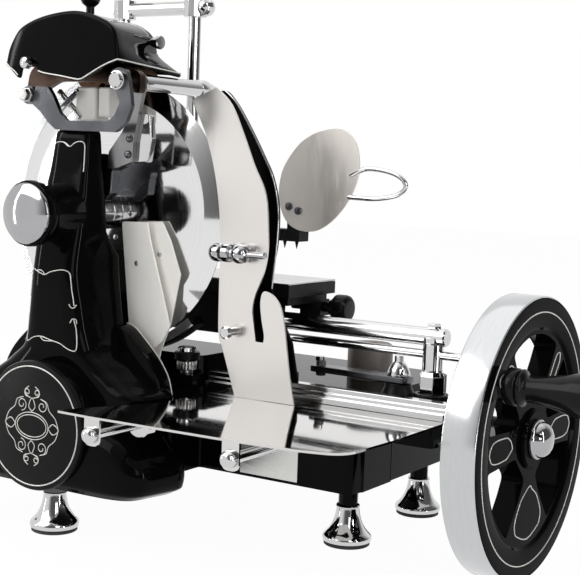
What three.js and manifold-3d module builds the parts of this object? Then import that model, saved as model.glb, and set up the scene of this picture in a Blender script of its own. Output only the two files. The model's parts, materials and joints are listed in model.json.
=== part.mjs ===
// A hand crank meat slicer with a flywheel, in millimetres, +Z up.
// The origin is the centre of the front left foot's sole.
// +X runs toward the flywheel and +Y toward the meat table.
import * as THREE from "three";
import { mergeVertices } from "three/addons/utils/BufferGeometryUtils.js";
import Module from "manifold-3d";

const wasm = await Module();
wasm.setup();

// Clearances shared by every piece
const restGap = 0.3;
const runGap = 0.5;
const overrun = 2;
const weldTolerance = 0.0001;
const roundSides = 20;
const largeSides = 48;
const smallSides = 12;
const sphereRings = 8;
const hexSides = 6;

// Heights that the upper pieces are set out from
const baseStepZ = 141.7;
const deckRise = 8.3;
const baseDeckZ = baseStepZ + deckRise;
const trayTop = baseStepZ + restGap;

// Blade, its shaft and its guard
const bladeRadius = 132.5;
const bladeTrayClearance = 35.5;
const bladeAxisZ = trayTop + bladeRadius + bladeTrayClearance;
const bladeBackY = 86;
const bladeBevelWidth = 20;
const bladeBevelDrop = 5.5;
const bladeDishDepth = 5;
const bladeEdgeSet = 1;
const bladeEdgeThick = 0.6;
const bladeBodySet = 3;
const bladeWebThick = 4;
const bladeHubRadius = 30;
const bladeHubLength = 12;
const bladeShaftRadius = 8;
const guardInnerGap = 1.3;
const guardWidth = 9.4;
const guardDepth = 22;
const guardStartDegrees = 110;
const guardEndDegrees = 312;
const guardFootHalf = 12;
const guardFootInset = 3;
const bearingSleeveRadius = 15.5;
const bearingSleeveFront = 37;

// Drive train in the column and the base
const driveShaftY = 140;
const driveShaftZ = 131;
const driveShaftRadius = 9;
const crossShaftX = 40;
const crossShaftRadius = 7;
const crossShaftRear = 186;
const crossShaftStub = 18;
const shaftInset = 3;
const bevelPitchRadius = 24;
const bevelTeeth = 12;
const bevelToothDepth = 4;
const bevelInnerShare = 0.62;
const bevelBackThick = 5;
const spurTeeth = 24;
const pinionTeeth = 18;
const spurFront = 9;
const spurWidth = 9;
const sprocketAxisZ = 108;
const lowerSprocketTeeth = 24;
const upperSprocketTeeth = 14;
const chainPitch = 6.35;
const chainFront = 23;
const chainWidth = 8;
const chainThick = 5;
const sprocketWidth = 3;
const sprocketToothHeight = 2.4;
const loopSteps = 12;

// Column casting
const columnRearY = 50;
const columnCavityFront = 5;
const columnCavityRear = 34;
const cavityTopRise = 28;
const housingRadius = 60;
const housingFrontY = -28;
const coverRadius = 62.5;
const coverThick = 6;
const badgeRadius = 28.4;
const badgeRimRadius = 31;
const badgeFrontY = -45;
const badgeDome = 8;

// Base casting
const baseLeft = -112;
const baseRight = 275;
const baseFront = 100;
const baseBack = 310;
const baseBottom = 60;
const baseWall = 7;
const baseCorner = 25;
const innerCorner = 4;
const armCorner = 8;
const humpCorner = 10;
const armEnd = 346;
const armTaper = 12;
const armHalfWidth = 25;
const wheelBearingLength = 56;
const wheelBearingEnd = armEnd + wheelBearingLength;
const wheelBearingRadius = 15;

// Feet
const footSoleRadius = 24;
const footNeckRadius = 11;
const footHeight = 39;
const footPad = 4;
const legRadius = 9.5;
const footPlaces = {
  front_left: [0, 0],
  front_right: [248, 143],
  back_right: [250, 289],
  back_left: [-92, 270],
};

// Flywheel and crank
const wheelRadius = 126.7;
const wheelRunGap = 3;
const wheelBack = wheelBearingEnd + wheelRunGap;
const wheelWidth = 31;
const wheelTyreThick = 4;
const wheelRimInner = 98;
const wheelWebBack = 7;
const wheelWebFront = 28;
const wheelOpeningOuter = 93;
const wheelOpeningInner = 37;
const wheelHubRadius = 27;
const wheelHubCap = 18;
const wheelHubFront = 32;
const openingCorner = 15;
const openingTip = 5;
const spokes = [
  { degrees: 0, halves: [13, 14, 15, 16] },
  { degrees: 51, halves: [9, 9, 10, 12] },
  { degrees: 129, halves: [9, 9, 10, 12] },
  { degrees: 180, halves: [13, 14, 15, 16] },
  { degrees: 270, halves: [12, 22, 34, 46] },
];
const crankRadius = 95;
const crankAngleDegrees = 143;
const gripLength = 112;
const gripRadius = 19;
const gripNeckRadius = 10;
const crankPinRadius = 5;
const crankFace = wheelWebFront;
const crankCollarLength = 18;

// Tray and deflector
const sheetThick = 2;
const trayRodRadius = 5;
const trayRodZ = 126;
const trayTabWidth = 17;
const trayTabDrop = 26;
const trayRodXs = [123, 266];
const trayTabFronts = [-90, -85];
const trayNutLength = 8;
const deflectorY = 74;
const deflectorThick = 2;

// Guide bar, rail and carriage
const guideY = 152;
const guideZ = 209.5;
const guideScrewHeight = 4;
const guideRadius = 8.5;
const guideLeft = -104;
const guideRight = 341;
const guidePostXs = [-90, 327];
const guidePostRadius = 9;
const guidePostHex = 12.5;
const guidePostHexHeight = 20;
const thinRodRadius = 4;
const thinRodZ = 193;
const thinRodRight = 392;
const saddleLeft = -10;
const saddleRight = 150;
const saddleHalfWidth = 19;
const saddleHeight = 36;
const railLeft = 104;
const railRight = 365;
const railHeight = 15;
const railDepth = 18;
const railStep = 6;
const railLip = 5;
const railGroove = 2;
const railShoulder = 9;

// Meat table and press
const tableTop = 250;
const tableLeft = -110;
const tableRight = 191;
const tableFront = 112;
const tableBack = 199;
const tableThick = 14;
const tableSkin = 1.5;
const tableInset = 6;
const keelInset = 8;
const socketFloor = 2;
const slideLength = 30;
const slideHalf = 9;
const feedScrewTail = 14;
const feedScrewRadius = 5;
const feedScrewY = 190;
const feedScrewZ = 222;
const feedKnobRadius = 14;
const feedKnobLength = 18;
const postXs = [-74, 21];
const postY = 177;
const postRadius = 6.5;
const postTop = 575;
const crosspieceZ = 523;
const pressArmZ = 287;
const pressArmThick = 12;
const pressArmRight = 165;
const pressArmHalf = 9;
const pressArmEnd = 14;
const pressSleeve = 34;
const crosspieceEnd = 12;
const crosspieceBall = 14;
const spikeCount = 9;
const spikeLength = 9;
const spikeRadius = 2.2;
const spikeStart = 22;
const spikeEnd = 8;

// Sharpener above the blade
const stoneRadius = 15;
const stoneWidth = 8;
const stoneLift = 3.5;
const stoneZ = bladeAxisZ + bladeRadius + stoneLift;
const stoneArmRadius = 4;
const stoneMargin = 1;
const tieRodX = 64;
const tieRodDrop = 10;
const tieRodZ = stoneZ - tieRodDrop;
const tieRodRadius = 6;
const tieRodEnd = 160;
const coverSkin = 2.5;
const coverFront = -2;
const coverBack = 96;
const coverCrest = 55;

const finishes = {
  chrome: { color: 0xd8d8d8, roughness: 0.08, metalness: 1 },
  mirror: { color: 0xc9c6c0, roughness: 0.05, metalness: 1 },
  steel: { color: 0xa9a7a3, roughness: 0.3, metalness: 1 },
  glossBlack: { color: 0x0a0a0a, roughness: 0.12, metalness: 0 },
  satinBlack: { color: 0x161616, roughness: 0.45, metalness: 0 },
  aluminium: { color: 0xc8cacb, roughness: 0.35, metalness: 1 },
  bronze: { color: 0x9a7a42, roughness: 0.35, metalness: 1 },
  stone: { color: 0x8c6a4a, roughness: 0.9, metalness: 0 },
  grey: { color: 0x7d7472, roughness: 0.4, metalness: 0.2 },
};

const slicer = new THREE.Group();

// Turns a closed three.js geometry into a solid that faces outward.
function solid(geometry) {
  const bare = geometry.clone();
  bare.deleteAttribute("normal");
  bare.deleteAttribute("uv");
  const merged = mergeVertices(bare, weldTolerance);
  const spots = merged.attributes.position.array;
  const index = merged.index.array;
  const faces = [];
  let volume = 0;
  const corner = [new THREE.Vector3(), new THREE.Vector3(), new THREE.Vector3()];
  for (let i = 0; i < index.length; i += 3) {
    const [a, b, c] = [index[i], index[i + 1], index[i + 2]];
    if (a === b || b === c || c === a) continue;
    faces.push([a, b, c]);
    corner[0].fromArray(spots, 3 * a);
    corner[1].fromArray(spots, 3 * b);
    corner[2].fromArray(spots, 3 * c);
    volume += corner[0].dot(corner[1].cross(corner[2]));
  }
  const turned = volume < 0 ? faces.map(([a, b, c]) => [a, c, b]) : faces;
  const triVerts = new Uint32Array(turned.flat());
  return new wasm.Manifold(new wasm.Mesh({ numProp: 3, vertProperties: spots, triVerts }));
}

function join(first, ...others) {
  return others.reduce((whole, other) => whole.add(other), first);
}

function cut(first, ...others) {
  return others.reduce((whole, other) => whole.subtract(other), first);
}

function mesh(parent, name, shape, finish) {
  const { vertProperties, triVerts } = shape.getMesh();
  const geometry = new THREE.BufferGeometry();
  geometry.setAttribute("position", new THREE.BufferAttribute(new Float32Array(vertProperties), 3));
  geometry.setIndex(new THREE.BufferAttribute(new Uint32Array(triVerts), 1));
  const flat = geometry.toNonIndexed();
  flat.computeVertexNormals();
  const piece = new THREE.Mesh(flat, new THREE.MeshStandardMaterial(finishes[finish]));
  piece.name = name;
  parent.add(piece);
  return piece;
}

function assembly(x, y, z) {
  const group = new THREE.Group();
  group.position.set(x, y, z);
  slicer.add(group);
  return group;
}

function outlineOf(points) {
  if (points instanceof THREE.Shape) return points;
  return new THREE.Shape(points.map(([u, v]) => new THREE.Vector2(u, v)));
}

// A plate whose outline lies in X and Z, between two values of Y.
function plateY(points, from, to) {
  const settings = { depth: to - from, bevelEnabled: false, curveSegments: 3 };
  const geometry = new THREE.ExtrudeGeometry(outlineOf(points), settings);
  return solid(geometry.rotateX(Math.PI / 2).translate(0, to, 0));
}

// A plate whose outline lies in X and Y, between two values of Z.
function plateZ(points, from, to) {
  const settings = { depth: to - from, bevelEnabled: false, curveSegments: 3 };
  return solid(new THREE.ExtrudeGeometry(outlineOf(points), settings).translate(0, 0, from));
}

// A plate whose outline lies in Y and Z, between two values of X.
function plateX(points, from, to) {
  const settings = { depth: to - from, bevelEnabled: false, curveSegments: 3 };
  const turn = new THREE.Matrix4().makeBasis(
    new THREE.Vector3(0, 1, 0),
    new THREE.Vector3(0, 0, 1),
    new THREE.Vector3(1, 0, 0),
  );
  const geometry = new THREE.ExtrudeGeometry(outlineOf(points), settings);
  return solid(geometry.applyMatrix4(turn).translate(from, 0, 0));
}

function block(low, high) {
  const [x0, y0, z0] = low;
  const [x1, y1, z1] = high;
  const geometry = new THREE.BoxGeometry(x1 - x0, y1 - y0, z1 - z0);
  return solid(geometry.translate((x0 + x1) / 2, (y0 + y1) / 2, (z0 + z1) / 2));
}

// A turned piece: its profile lists radius and place along the axis.
function turned(axis, centre, profile, sides = roundSides) {
  const geometry = new THREE.LatheGeometry(
    profile.map(([radius, along]) => new THREE.Vector2(radius, along)),
    sides,
  );
  if (axis === "x") geometry.rotateZ(-Math.PI / 2);
  if (axis === "z") geometry.rotateX(Math.PI / 2);
  return solid(geometry.translate(...centre));
}

function rod(axis, centre, radius, from, to, sides = roundSides) {
  return turned(axis, centre, [[0, from], [radius, from], [radius, to], [0, to]], sides);
}

function tube(axis, centre, inner, outer, from, to, sides = roundSides) {
  return turned(axis, centre, [[inner, from], [outer, from], [outer, to], [inner, to], [inner, from]], sides);
}

// A polygon with its corners rounded.
function rounded(points, radius) {
  const shape = new THREE.Shape();
  const count = points.length;
  points.forEach((point, i) => {
    const here = new THREE.Vector2(...point);
    const before = new THREE.Vector2(...points[(i + count - 1) % count]).sub(here);
    const after = new THREE.Vector2(...points[(i + 1) % count]).sub(here);
    const reach = Math.min(point[2] ?? radius, before.length() / 2.02, after.length() / 2.02);
    const start = here.clone().add(before.setLength(reach));
    const end = here.clone().add(after.setLength(reach));
    if (i === 0) shape.moveTo(start.x, start.y);
    else shape.lineTo(start.x, start.y);
    shape.quadraticCurveTo(here.x, here.y, end.x, end.y);
  });
  shape.closePath();
  return shape;
}

function smoothOutline(points, steps) {
  const spots = points.map(([u, v]) => new THREE.Vector3(u, v, 0));
  const curve = new THREE.CatmullRomCurve3(spots, true, "centripetal");
  return curve.getPoints(steps).slice(0, -1).map((spot) => [spot.x, spot.y]);
}

// A round wire or bar swept along points.
function swept(points, radius, sides, steps) {
  const curve = new THREE.CatmullRomCurve3(points.map((point) => new THREE.Vector3(...point)));
  const ring = new THREE.Shape();
  for (let i = 0; i < sides; i++) {
    const turn = (2 * Math.PI * i) / sides;
    if (i === 0) ring.moveTo(radius, 0);
    else ring.lineTo(radius * Math.cos(turn), radius * Math.sin(turn));
  }
  return solid(new THREE.ExtrudeGeometry(ring, { steps, bevelEnabled: false, extrudePath: curve }));
}

// The outline of a loop that runs round two circles on the Z axis line.
function loopOutline(lowZ, lowRadius, highZ, highRadius, steps) {
  const lean = Math.asin((lowRadius - highRadius) / (highZ - lowZ));
  const points = [];
  for (let i = 0; i <= steps; i++) {
    const turn = lean + ((Math.PI - 2 * lean) * i) / steps;
    points.push([highRadius * Math.cos(turn), highZ + highRadius * Math.sin(turn)]);
  }
  for (let i = 0; i <= steps; i++) {
    const turn = Math.PI - lean + ((Math.PI + 2 * lean) * i) / steps;
    points.push([lowRadius * Math.cos(turn), lowZ + lowRadius * Math.sin(turn)]);
  }
  return points;
}

// A straight-toothed gear outline about the origin, with a tooth or a gap centred at the phase.
function gearOutline(teeth, root, tip, phase, rootShare, tipShare) {
  const points = [];
  const step = (2 * Math.PI) / teeth;
  for (let i = 0; i < teeth; i++) {
    const middle = phase + i * step;
    for (const [radius, share] of [[root, -rootShare], [tip, -tipShare], [tip, tipShare], [root, rootShare]]) {
      const turn = middle + (share * step) / 2;
      points.push([radius * Math.cos(turn), radius * Math.sin(turn)]);
    }
  }
  return points;
}

// An outline set out from another point.
function moved(points, x, z) {
  return points.map(([u, v, ...rest]) => [u + x, v + z, ...rest]);
}

// Feet: chrome bells with a flat sole
function buildFeet() {
  for (const [place, [x, y]] of Object.entries(footPlaces)) {
    const bottom = place === "front_left" ? housingBottom : baseBottom;
    const group = assembly(x, y, 0);
    const neckTop = Math.min(footHeight, bottom - restGap);
    const waist = footNeckRadius * 0.86;
    const profile = [
      [0, 0],
      [footSoleRadius, 0],
      [footSoleRadius, footPad],
      [footSoleRadius * 0.9, footPad * 1.8],
      [footSoleRadius * 0.62, footHeight * 0.38],
      [footSoleRadius * 0.5, footHeight * 0.62],
      [waist, footHeight * 0.78],
      [footNeckRadius, footHeight * 0.86],
      [footNeckRadius, neckTop],
      [0, neckTop],
    ];
    mesh(group, `${place}_foot`, turned("z", [0, 0, 0], profile), "chrome");
  }
}

function legOf(place, top) {
  const [x, y] = footPlaces[place];
  return rod("z", [x, y, 0], legRadius, footHeight + restGap, top, smallSides);
}

// Column casting: a flared tower that holds the chain drive
const housingBottom = sprocketAxisZ - housingRadius;
const columnHalfWidth = 132;

// Each row holds a height, the front face's place and the half widths at the front and the rear, as shares.
const columnFootShares = [
  [0, -0.1667, 0.7879, 0.8939],
  [0.0854, -0.2121, 0.8788, 1],
  [0.3415, -0.2121, 0.8788, 1],
  [0.555, -0.197, 0.7273, 0.8333],
  [0.683, -0.1364, 0.6061, 0.697],
  [0.8324, -0.0909, 0.6515, 0.7955],
  [0.9819, -0.0833, 0.7348, 0.8788],
];
const columnTowerShares = [
  [0.0553, -0.0833, 0.5909, 0.7652],
  [0.1384, -0.0833, 0.4318, 0.6212],
  [0.2395, -0.0833, 0.2955, 0.4167],
  [0.4652, -0.0985, 0.2348, 0.3485],
  [0.6851, -0.1061, 0.197, 0.3106],
  [0.9703, -0.0379, 0.1894, 0.2803],
  [1.1248, 0.0152, 0.1818, 0.25],
  [1.2971, 0.0606, 0.1667, 0.2121],
  [1.4516, 0.0909, 0.1515, 0.1894],
  [1.4813, 0.1136, 0.1288, 0.1591],
];

function columnSections() {
  const row = (base, rise) => ([height, front, frontHalf, rearHalf]) => ({
    z: base + rise * height,
    front: columnHalfWidth * front,
    frontHalf: columnHalfWidth * frontHalf,
    rearHalf: columnHalfWidth * rearHalf,
  });
  const foot = columnFootShares.map(row(housingBottom, baseStepZ - housingBottom));
  const tower = columnTowerShares.map(row(baseStepZ, bladeAxisZ - baseStepZ));
  return [...foot, ...tower];
}

const sectionPoints = 24;
const squarenessShare = 0.36;

// One closed skin through a stack of rounded four-sided sections.
function lofted(sections, rear) {
  const spots = [];
  for (const { z, front, frontHalf, rearHalf } of sections) {
    for (let i = 0; i < sectionPoints; i++) {
      const turn = (2 * Math.PI * i) / sectionPoints;
      const u = Math.sign(Math.cos(turn)) * Math.abs(Math.cos(turn)) ** squarenessShare;
      const v = Math.sign(Math.sin(turn)) * Math.abs(Math.sin(turn)) ** squarenessShare;
      const share = (v + 1) / 2;
      const half = frontHalf + (rearHalf - frontHalf) * share;
      spots.push(half * u, front + (rear - front) * share, z);
    }
  }
  const faces = [];
  for (let level = 0; level < sections.length - 1; level++) {
    for (let i = 0; i < sectionPoints; i++) {
      const a = level * sectionPoints + i;
      const b = level * sectionPoints + ((i + 1) % sectionPoints);
      faces.push(a, b, b + sectionPoints, a, b + sectionPoints, a + sectionPoints);
    }
  }
  const last = (sections.length - 1) * sectionPoints;
  for (let i = 1; i < sectionPoints - 1; i++) {
    faces.push(0, i + 1, i, last, last + i, last + i + 1);
  }
  const geometry = new THREE.BufferGeometry();
  geometry.setAttribute("position", new THREE.BufferAttribute(new Float32Array(spots), 3));
  geometry.setIndex(faces);
  return solid(geometry);
}

const cavityBottomHalf = 36;
const cavityTopHalf = 22;
const cavityWaistHalf = 28;
const cavityWaistRise = 48.3;
const gearRoom = 32;
const earThick = 10;
// Places of the ear's corners from the tie rod
const earOutline = [
  [-52, -91], [-34, -86], [-20, -64], [16, -8], [13, 8],
  [0, 15], [-12, 10], [-18, -6], [-38, -40], [-52, -48],
];
const rodSeatRadius = 9;

function buildColumn() {
  const tower = lofted(columnSections(), columnRearY);
  const drum = rod("y", [0, 0, sprocketAxisZ], housingRadius, housingFrontY, columnRearY - overrun, largeSides);
  const boss = turned("y", [0, 0, bladeAxisZ], [
    [0, badgeFrontY],
    [badgeRimRadius, badgeFrontY],
    [badgeRimRadius, badgeFrontY + badgeDome],
    [badgeRadius * 0.93, badgeFrontY + 2 * badgeDome],
    [badgeRadius, columnCavityFront],
    [0, columnCavityFront],
  ], 2 * smallSides);
  const seat = rod("y", [trayRodXs[0], 0, trayRodZ], rodSeatRadius, housingFrontY, columnRearY, smallSides);
  const seatWeb = block(
    [columnCavityRear + cavityBottomHalf, housingFrontY + overrun, trayRodZ - rodSeatRadius * 0.7],
    [trayRodXs[0], columnRearY - overrun, trayRodZ + rodSeatRadius * 0.7],
  );
  const cavity = plateY([
    [-cavityBottomHalf, housingBottom - overrun],
    [cavityBottomHalf, housingBottom - overrun],
    [cavityBottomHalf, driveShaftZ],
    [cavityWaistHalf, baseStepZ + cavityWaistRise],
    [cavityTopHalf, bladeAxisZ],
    [cavityTopHalf, bladeAxisZ + cavityTopRise],
    [-cavityTopHalf, bladeAxisZ + cavityTopRise],
    [-cavityTopHalf, bladeAxisZ],
    [-cavityWaistHalf, baseStepZ + cavityWaistRise],
    [-cavityBottomHalf, driveShaftZ],
  ], columnCavityFront, columnCavityRear);
  const legRoom = block(
    [-cavityBottomHalf - overrun, columnCavityFront, housingBottom - overrun],
    [-cavityBottomHalf + legRadius, columnCavityRear, housingBottom],
  );
  const gearSpace = rod("y", [crossShaftX, 0, driveShaftZ], gearRoom, columnCavityFront, columnCavityRear);
  const rear = columnRearY + overrun;
  const shaftRoom = crossShaftRadius + runGap;
  const bladeBore = rod("y", [0, 0, bladeAxisZ], bladeShaftRadius + runGap, badgeFrontY + badgeDome, rear);
  const sleeveRoom = bearingSleeveRadius + restGap;
  const sleeveBore = rod("y", [0, 0, bladeAxisZ], sleeveRoom, columnCavityRear - overrun, rear);
  const housingFront = housingFrontY - overrun;
  const sprocketBore = rod("y", [0, 0, sprocketAxisZ], shaftRoom, housingFront, columnRearY - overrun);
  const crossFront = spurFront - crossShaftStub - runGap;
  const crossBore = rod("y", [crossShaftX, 0, driveShaftZ], shaftRoom, crossFront, rear);
  const earFront = frameFront + frameThick + runGap;
  const ear = plateY(moved(earOutline, tieRodX, tieRodZ), earFront, earFront + earThick);
  const earBore = rod("y", [tieRodX, 0, tieRodZ], tieRodRadius + restGap, 0, columnRearY);
  const seatPlace = [trayRodXs[0], 0, trayRodZ];
  const tapped = rod("y", seatPlace, trayRodRadius + restGap, housingFrontY - overrun, 0, smallSides);
  const leg = legOf("front_left", housingBottom + overrun);
  const bores = [bladeBore, sleeveBore, sprocketBore, crossBore, tapped];
  const body = cut(join(tower, drum, boss, seat, seatWeb), cavity, legRoom, gearSpace, ...bores);
  const towerWithEar = cut(join(body, ear, leg), earBore);
  mesh(slicer, "column_casting", towerWithEar, "glossBlack");
  const cover = turned("y", [0, housingFrontY - restGap, sprocketAxisZ], [
    [0, 0],
    [coverRadius, 0],
    [coverRadius, -coverThick * 0.6],
    [coverRadius - coverThick * 0.4, -coverThick],
    [0, -coverThick],
  ], largeSides);
  mesh(slicer, "chain_cover", cover, "satinBlack");
  const badge = turned("y", [0, badgeFrontY - restGap, bladeAxisZ], [
    [0, 0],
    [badgeRadius, 0],
    [badgeRadius, -badgeDome * 0.25],
    [badgeRadius * 0.82, -badgeDome * 0.62],
    [badgeRadius * 0.5, -badgeDome * 0.9],
    [badgeRadius * 0.25, -badgeDome * 0.98],
    [0, -badgeDome],
  ], 2 * smallSides);
  mesh(slicer, "badge_cap", badge, "chrome");
}

// Base casting: an open-bottomed box with the wheel's bearing arm and a gear hump
const humpLeft = -2;
const humpRight = 92;
const humpFront = 109.7;
const humpWall = 4;
const humpBack = 190;
const humpRise = 20;
const humpTop = baseDeckZ + humpRise;

function buildBase() {
  const outline = rounded([
    [baseLeft, columnRearY + restGap, innerCorner],
    [baseFront, columnRearY + restGap, innerCorner],
    [baseFront, baseFront, innerCorner],
    [baseRight, baseFront, baseCorner],
    [baseRight, armY - armHalfWidth],
    [armEnd, armY - armHalfWidth],
    [armEnd, armY + armHalfWidth],
    [baseRight, armY + armHalfWidth],
    [baseRight, baseBack, baseCorner],
    [baseLeft, baseBack, baseCorner],
  ], armCorner);
  const lower = plateZ(outline, baseBottom, baseDeckZ);
  const armUnder = block(
    [baseRight + overrun, armY - armHalfWidth - overrun, baseBottom - overrun],
    [armEnd + overrun, armY + armHalfWidth + overrun, driveShaftZ - armHalfWidth * 0.8],
  );
  const stepCut = block(
    [baseLeft - overrun, columnRearY - overrun, baseStepZ],
    [armEnd + overrun, baseFront + railDepth + restGap, baseDeckZ + overrun],
  );
  const hump = plateZ(rounded([
    [humpLeft, humpFront],
    [humpRight, humpFront],
    [humpRight, humpBack],
    [humpLeft, humpBack],
  ], humpCorner), baseStepZ - overrun, humpTop);
  const wheelArm = turned("x", [0, driveShaftY, driveShaftZ], [
    [0, armEnd - overrun],
    [armHalfWidth * 0.8, armEnd - overrun],
    [wheelBearingRadius, armEnd + armTaper],
    [wheelBearingRadius, wheelBearingEnd],
    [0, wheelBearingEnd],
  ]);
  const inner = rounded([
    [baseLeft + baseWall, columnRearY + baseWall],
    [baseFront - baseWall, columnRearY + baseWall],
    [baseFront - baseWall, baseFront + baseWall],
    [baseRight - baseWall, baseFront + baseWall, baseCorner - baseWall],
    [baseRight - baseWall, baseBack - baseWall, baseCorner - baseWall],
    [baseLeft + baseWall, baseBack - baseWall, baseCorner - baseWall],
  ], innerCorner);
  const cavity = plateZ(inner, baseBottom - overrun, baseStepZ - baseWall);
  const humpCavity = plateZ(rounded([
    [humpLeft + baseWall, humpFront + humpWall],
    [humpRight - baseWall, humpFront + humpWall],
    [humpRight - baseWall, humpBack - baseWall],
    [humpLeft + baseWall, humpBack - baseWall],
  ], innerCorner), baseStepZ - baseWall - overrun, humpTop - baseWall / 2);
  const shaftPlace = [0, driveShaftY, driveShaftZ];
  const shaftBore = rod("x", shaftPlace, driveShaftRadius + runGap, crossShaftX, wheelBearingEnd + overrun);
  const bushBores = bushingPlaces().map(([from, to]) => rod("x", shaftPlace, bushRadius + restGap, from, to));
  const crossPlace = [crossShaftX, 0, driveShaftZ];
  const crossBore = rod("y", crossPlace, crossShaftRadius + runGap, columnRearY - overrun, humpBack);
  const rearWeb = block(
    [crossShaftX - 2 * crossShaftRadius, humpBack - baseWall - overrun, driveShaftZ - 2 * crossShaftRadius],
    [crossShaftX + 2 * crossShaftRadius, humpBack, baseStepZ],
  );
  const wheelWall = block(
    [humpRight - baseWall, driveShaftY - armHalfWidth, driveShaftZ - armHalfWidth],
    [baseRight - overrun, driveShaftY + armHalfWidth, baseStepZ],
  );
  const lugPlace = [trayRodXs[1], 0, trayRodZ];
  const lugFront = baseFront - baseWall;
  const lug = rod("y", lugPlace, rodSeatRadius, lugFront, baseFront + baseCorner, smallSides);
  const lugRoom = trayRodRadius + restGap;
  const lugBore = rod("y", lugPlace, lugRoom, lugFront - overrun, baseFront + baseWall, smallSides);
  const legs = ["front_right", "back_right", "back_left"].map((place) => legOf(place, baseStepZ - overrun));
  const shell = cut(join(cut(join(cut(lower, armUnder), wheelArm), stepCut), hump), cavity, humpCavity);
  const knobBlock = block(
    [knobSpot.x - knobSpot.blockHalf, knobSpot.y - knobSpot.radius, baseStepZ - overrun],
    [knobSpot.x + knobSpot.blockHalf, knobSpot.y + knobSpot.radius, baseStepZ + knobSpot.blockHeight],
  );
  const knobPlace = [knobSpot.x, knobSpot.y, baseStepZ];
  const knobBore = rod("z", knobPlace, knobSpot.stemRadius + restGap, 0, 2 * knobSpot.blockHeight, smallSides);
  const solids = join(shell, rearWeb, wheelWall, lug, knobBlock, ...legs);
  const whole = cut(solids, shaftBore, ...bushBores, crossBore, lugBore, knobBore);
  mesh(slicer, "base_casting", whole, "glossBlack");
}

const armY = (driveShaftY + guideY) / 2;
const bushRadius = 12;
const bushLength = 22;

function bushingPlaces() {
  return [
    [humpRight - baseWall - overrun / 2, humpRight - baseWall + bushLength],
    [wheelBearingEnd - bushLength, wheelBearingEnd + overrun],
  ];
}

// Drive: wheel shaft, mitre gears, cross shaft, spur pair and chain
const toothRootShare = 0.56;
const toothTipShare = 0.2;
const sprocketRootShare = 0.5;
const sprocketTipShare = 0.16;

function bevelGear(axisTurn, bore) {
  const parts = [];
  const lean = Math.SQRT1_2;
  const inner = bevelInnerShare;
  const depth = bevelToothDepth * 0.55 * lean;
  const top = bevelToothDepth * 0.45 * lean;
  const radius = bevelPitchRadius;
  const profile = [
    [bore, inner * (radius + depth)],
    [inner * (radius - depth), inner * (radius + depth)],
    [radius - depth, radius + depth],
    [radius - depth, radius + depth + bevelBackThick],
    [bore, radius + depth + bevelBackThick],
    [bore, inner * (radius + depth)],
  ];
  parts.push(turned("x", [0, 0, 0], profile, 2 * smallSides));
  const rootHalf = (Math.PI * radius * 0.5) / bevelTeeth;
  const tipHalf = rootHalf * 0.45;
  const sunk = depth * 1.6;
  for (let i = 0; i < bevelTeeth; i++) {
    const turn = axisTurn + (2 * Math.PI * i) / bevelTeeth;
    const outward = new THREE.Vector3(0, Math.cos(turn), Math.sin(turn));
    const side = new THREE.Vector3(0, -Math.sin(turn), Math.cos(turn));
    const spots = [];
    for (const scale of [inner, 1]) {
      for (const [height, half] of [[-sunk, rootHalf], [top, tipHalf], [top, -tipHalf], [-sunk, -rootHalf]]) {
        const spot = outward.clone().multiplyScalar(scale * (radius + height));
        spot.x = scale * (radius - height);
        spot.addScaledVector(side, scale * half);
        spots.push(...spot.toArray());
      }
    }
    const geometry = new THREE.BufferGeometry();
    geometry.setAttribute("position", new THREE.BufferAttribute(new Float32Array(spots), 3));
    const faces = [0, 1, 2, 0, 2, 3, 4, 6, 5, 4, 7, 6];
    for (let k = 0; k < 4; k++) {
      const next = (k + 1) % 4;
      faces.push(k, k + 4, next + 4, k, next + 4, next);
    }
    geometry.setIndex(faces);
    parts.push(solid(geometry));
  }
  return join(...parts);
}

function turnedSolid(shape, matrix) {
  return shape.transform(matrix.elements);
}

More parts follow.
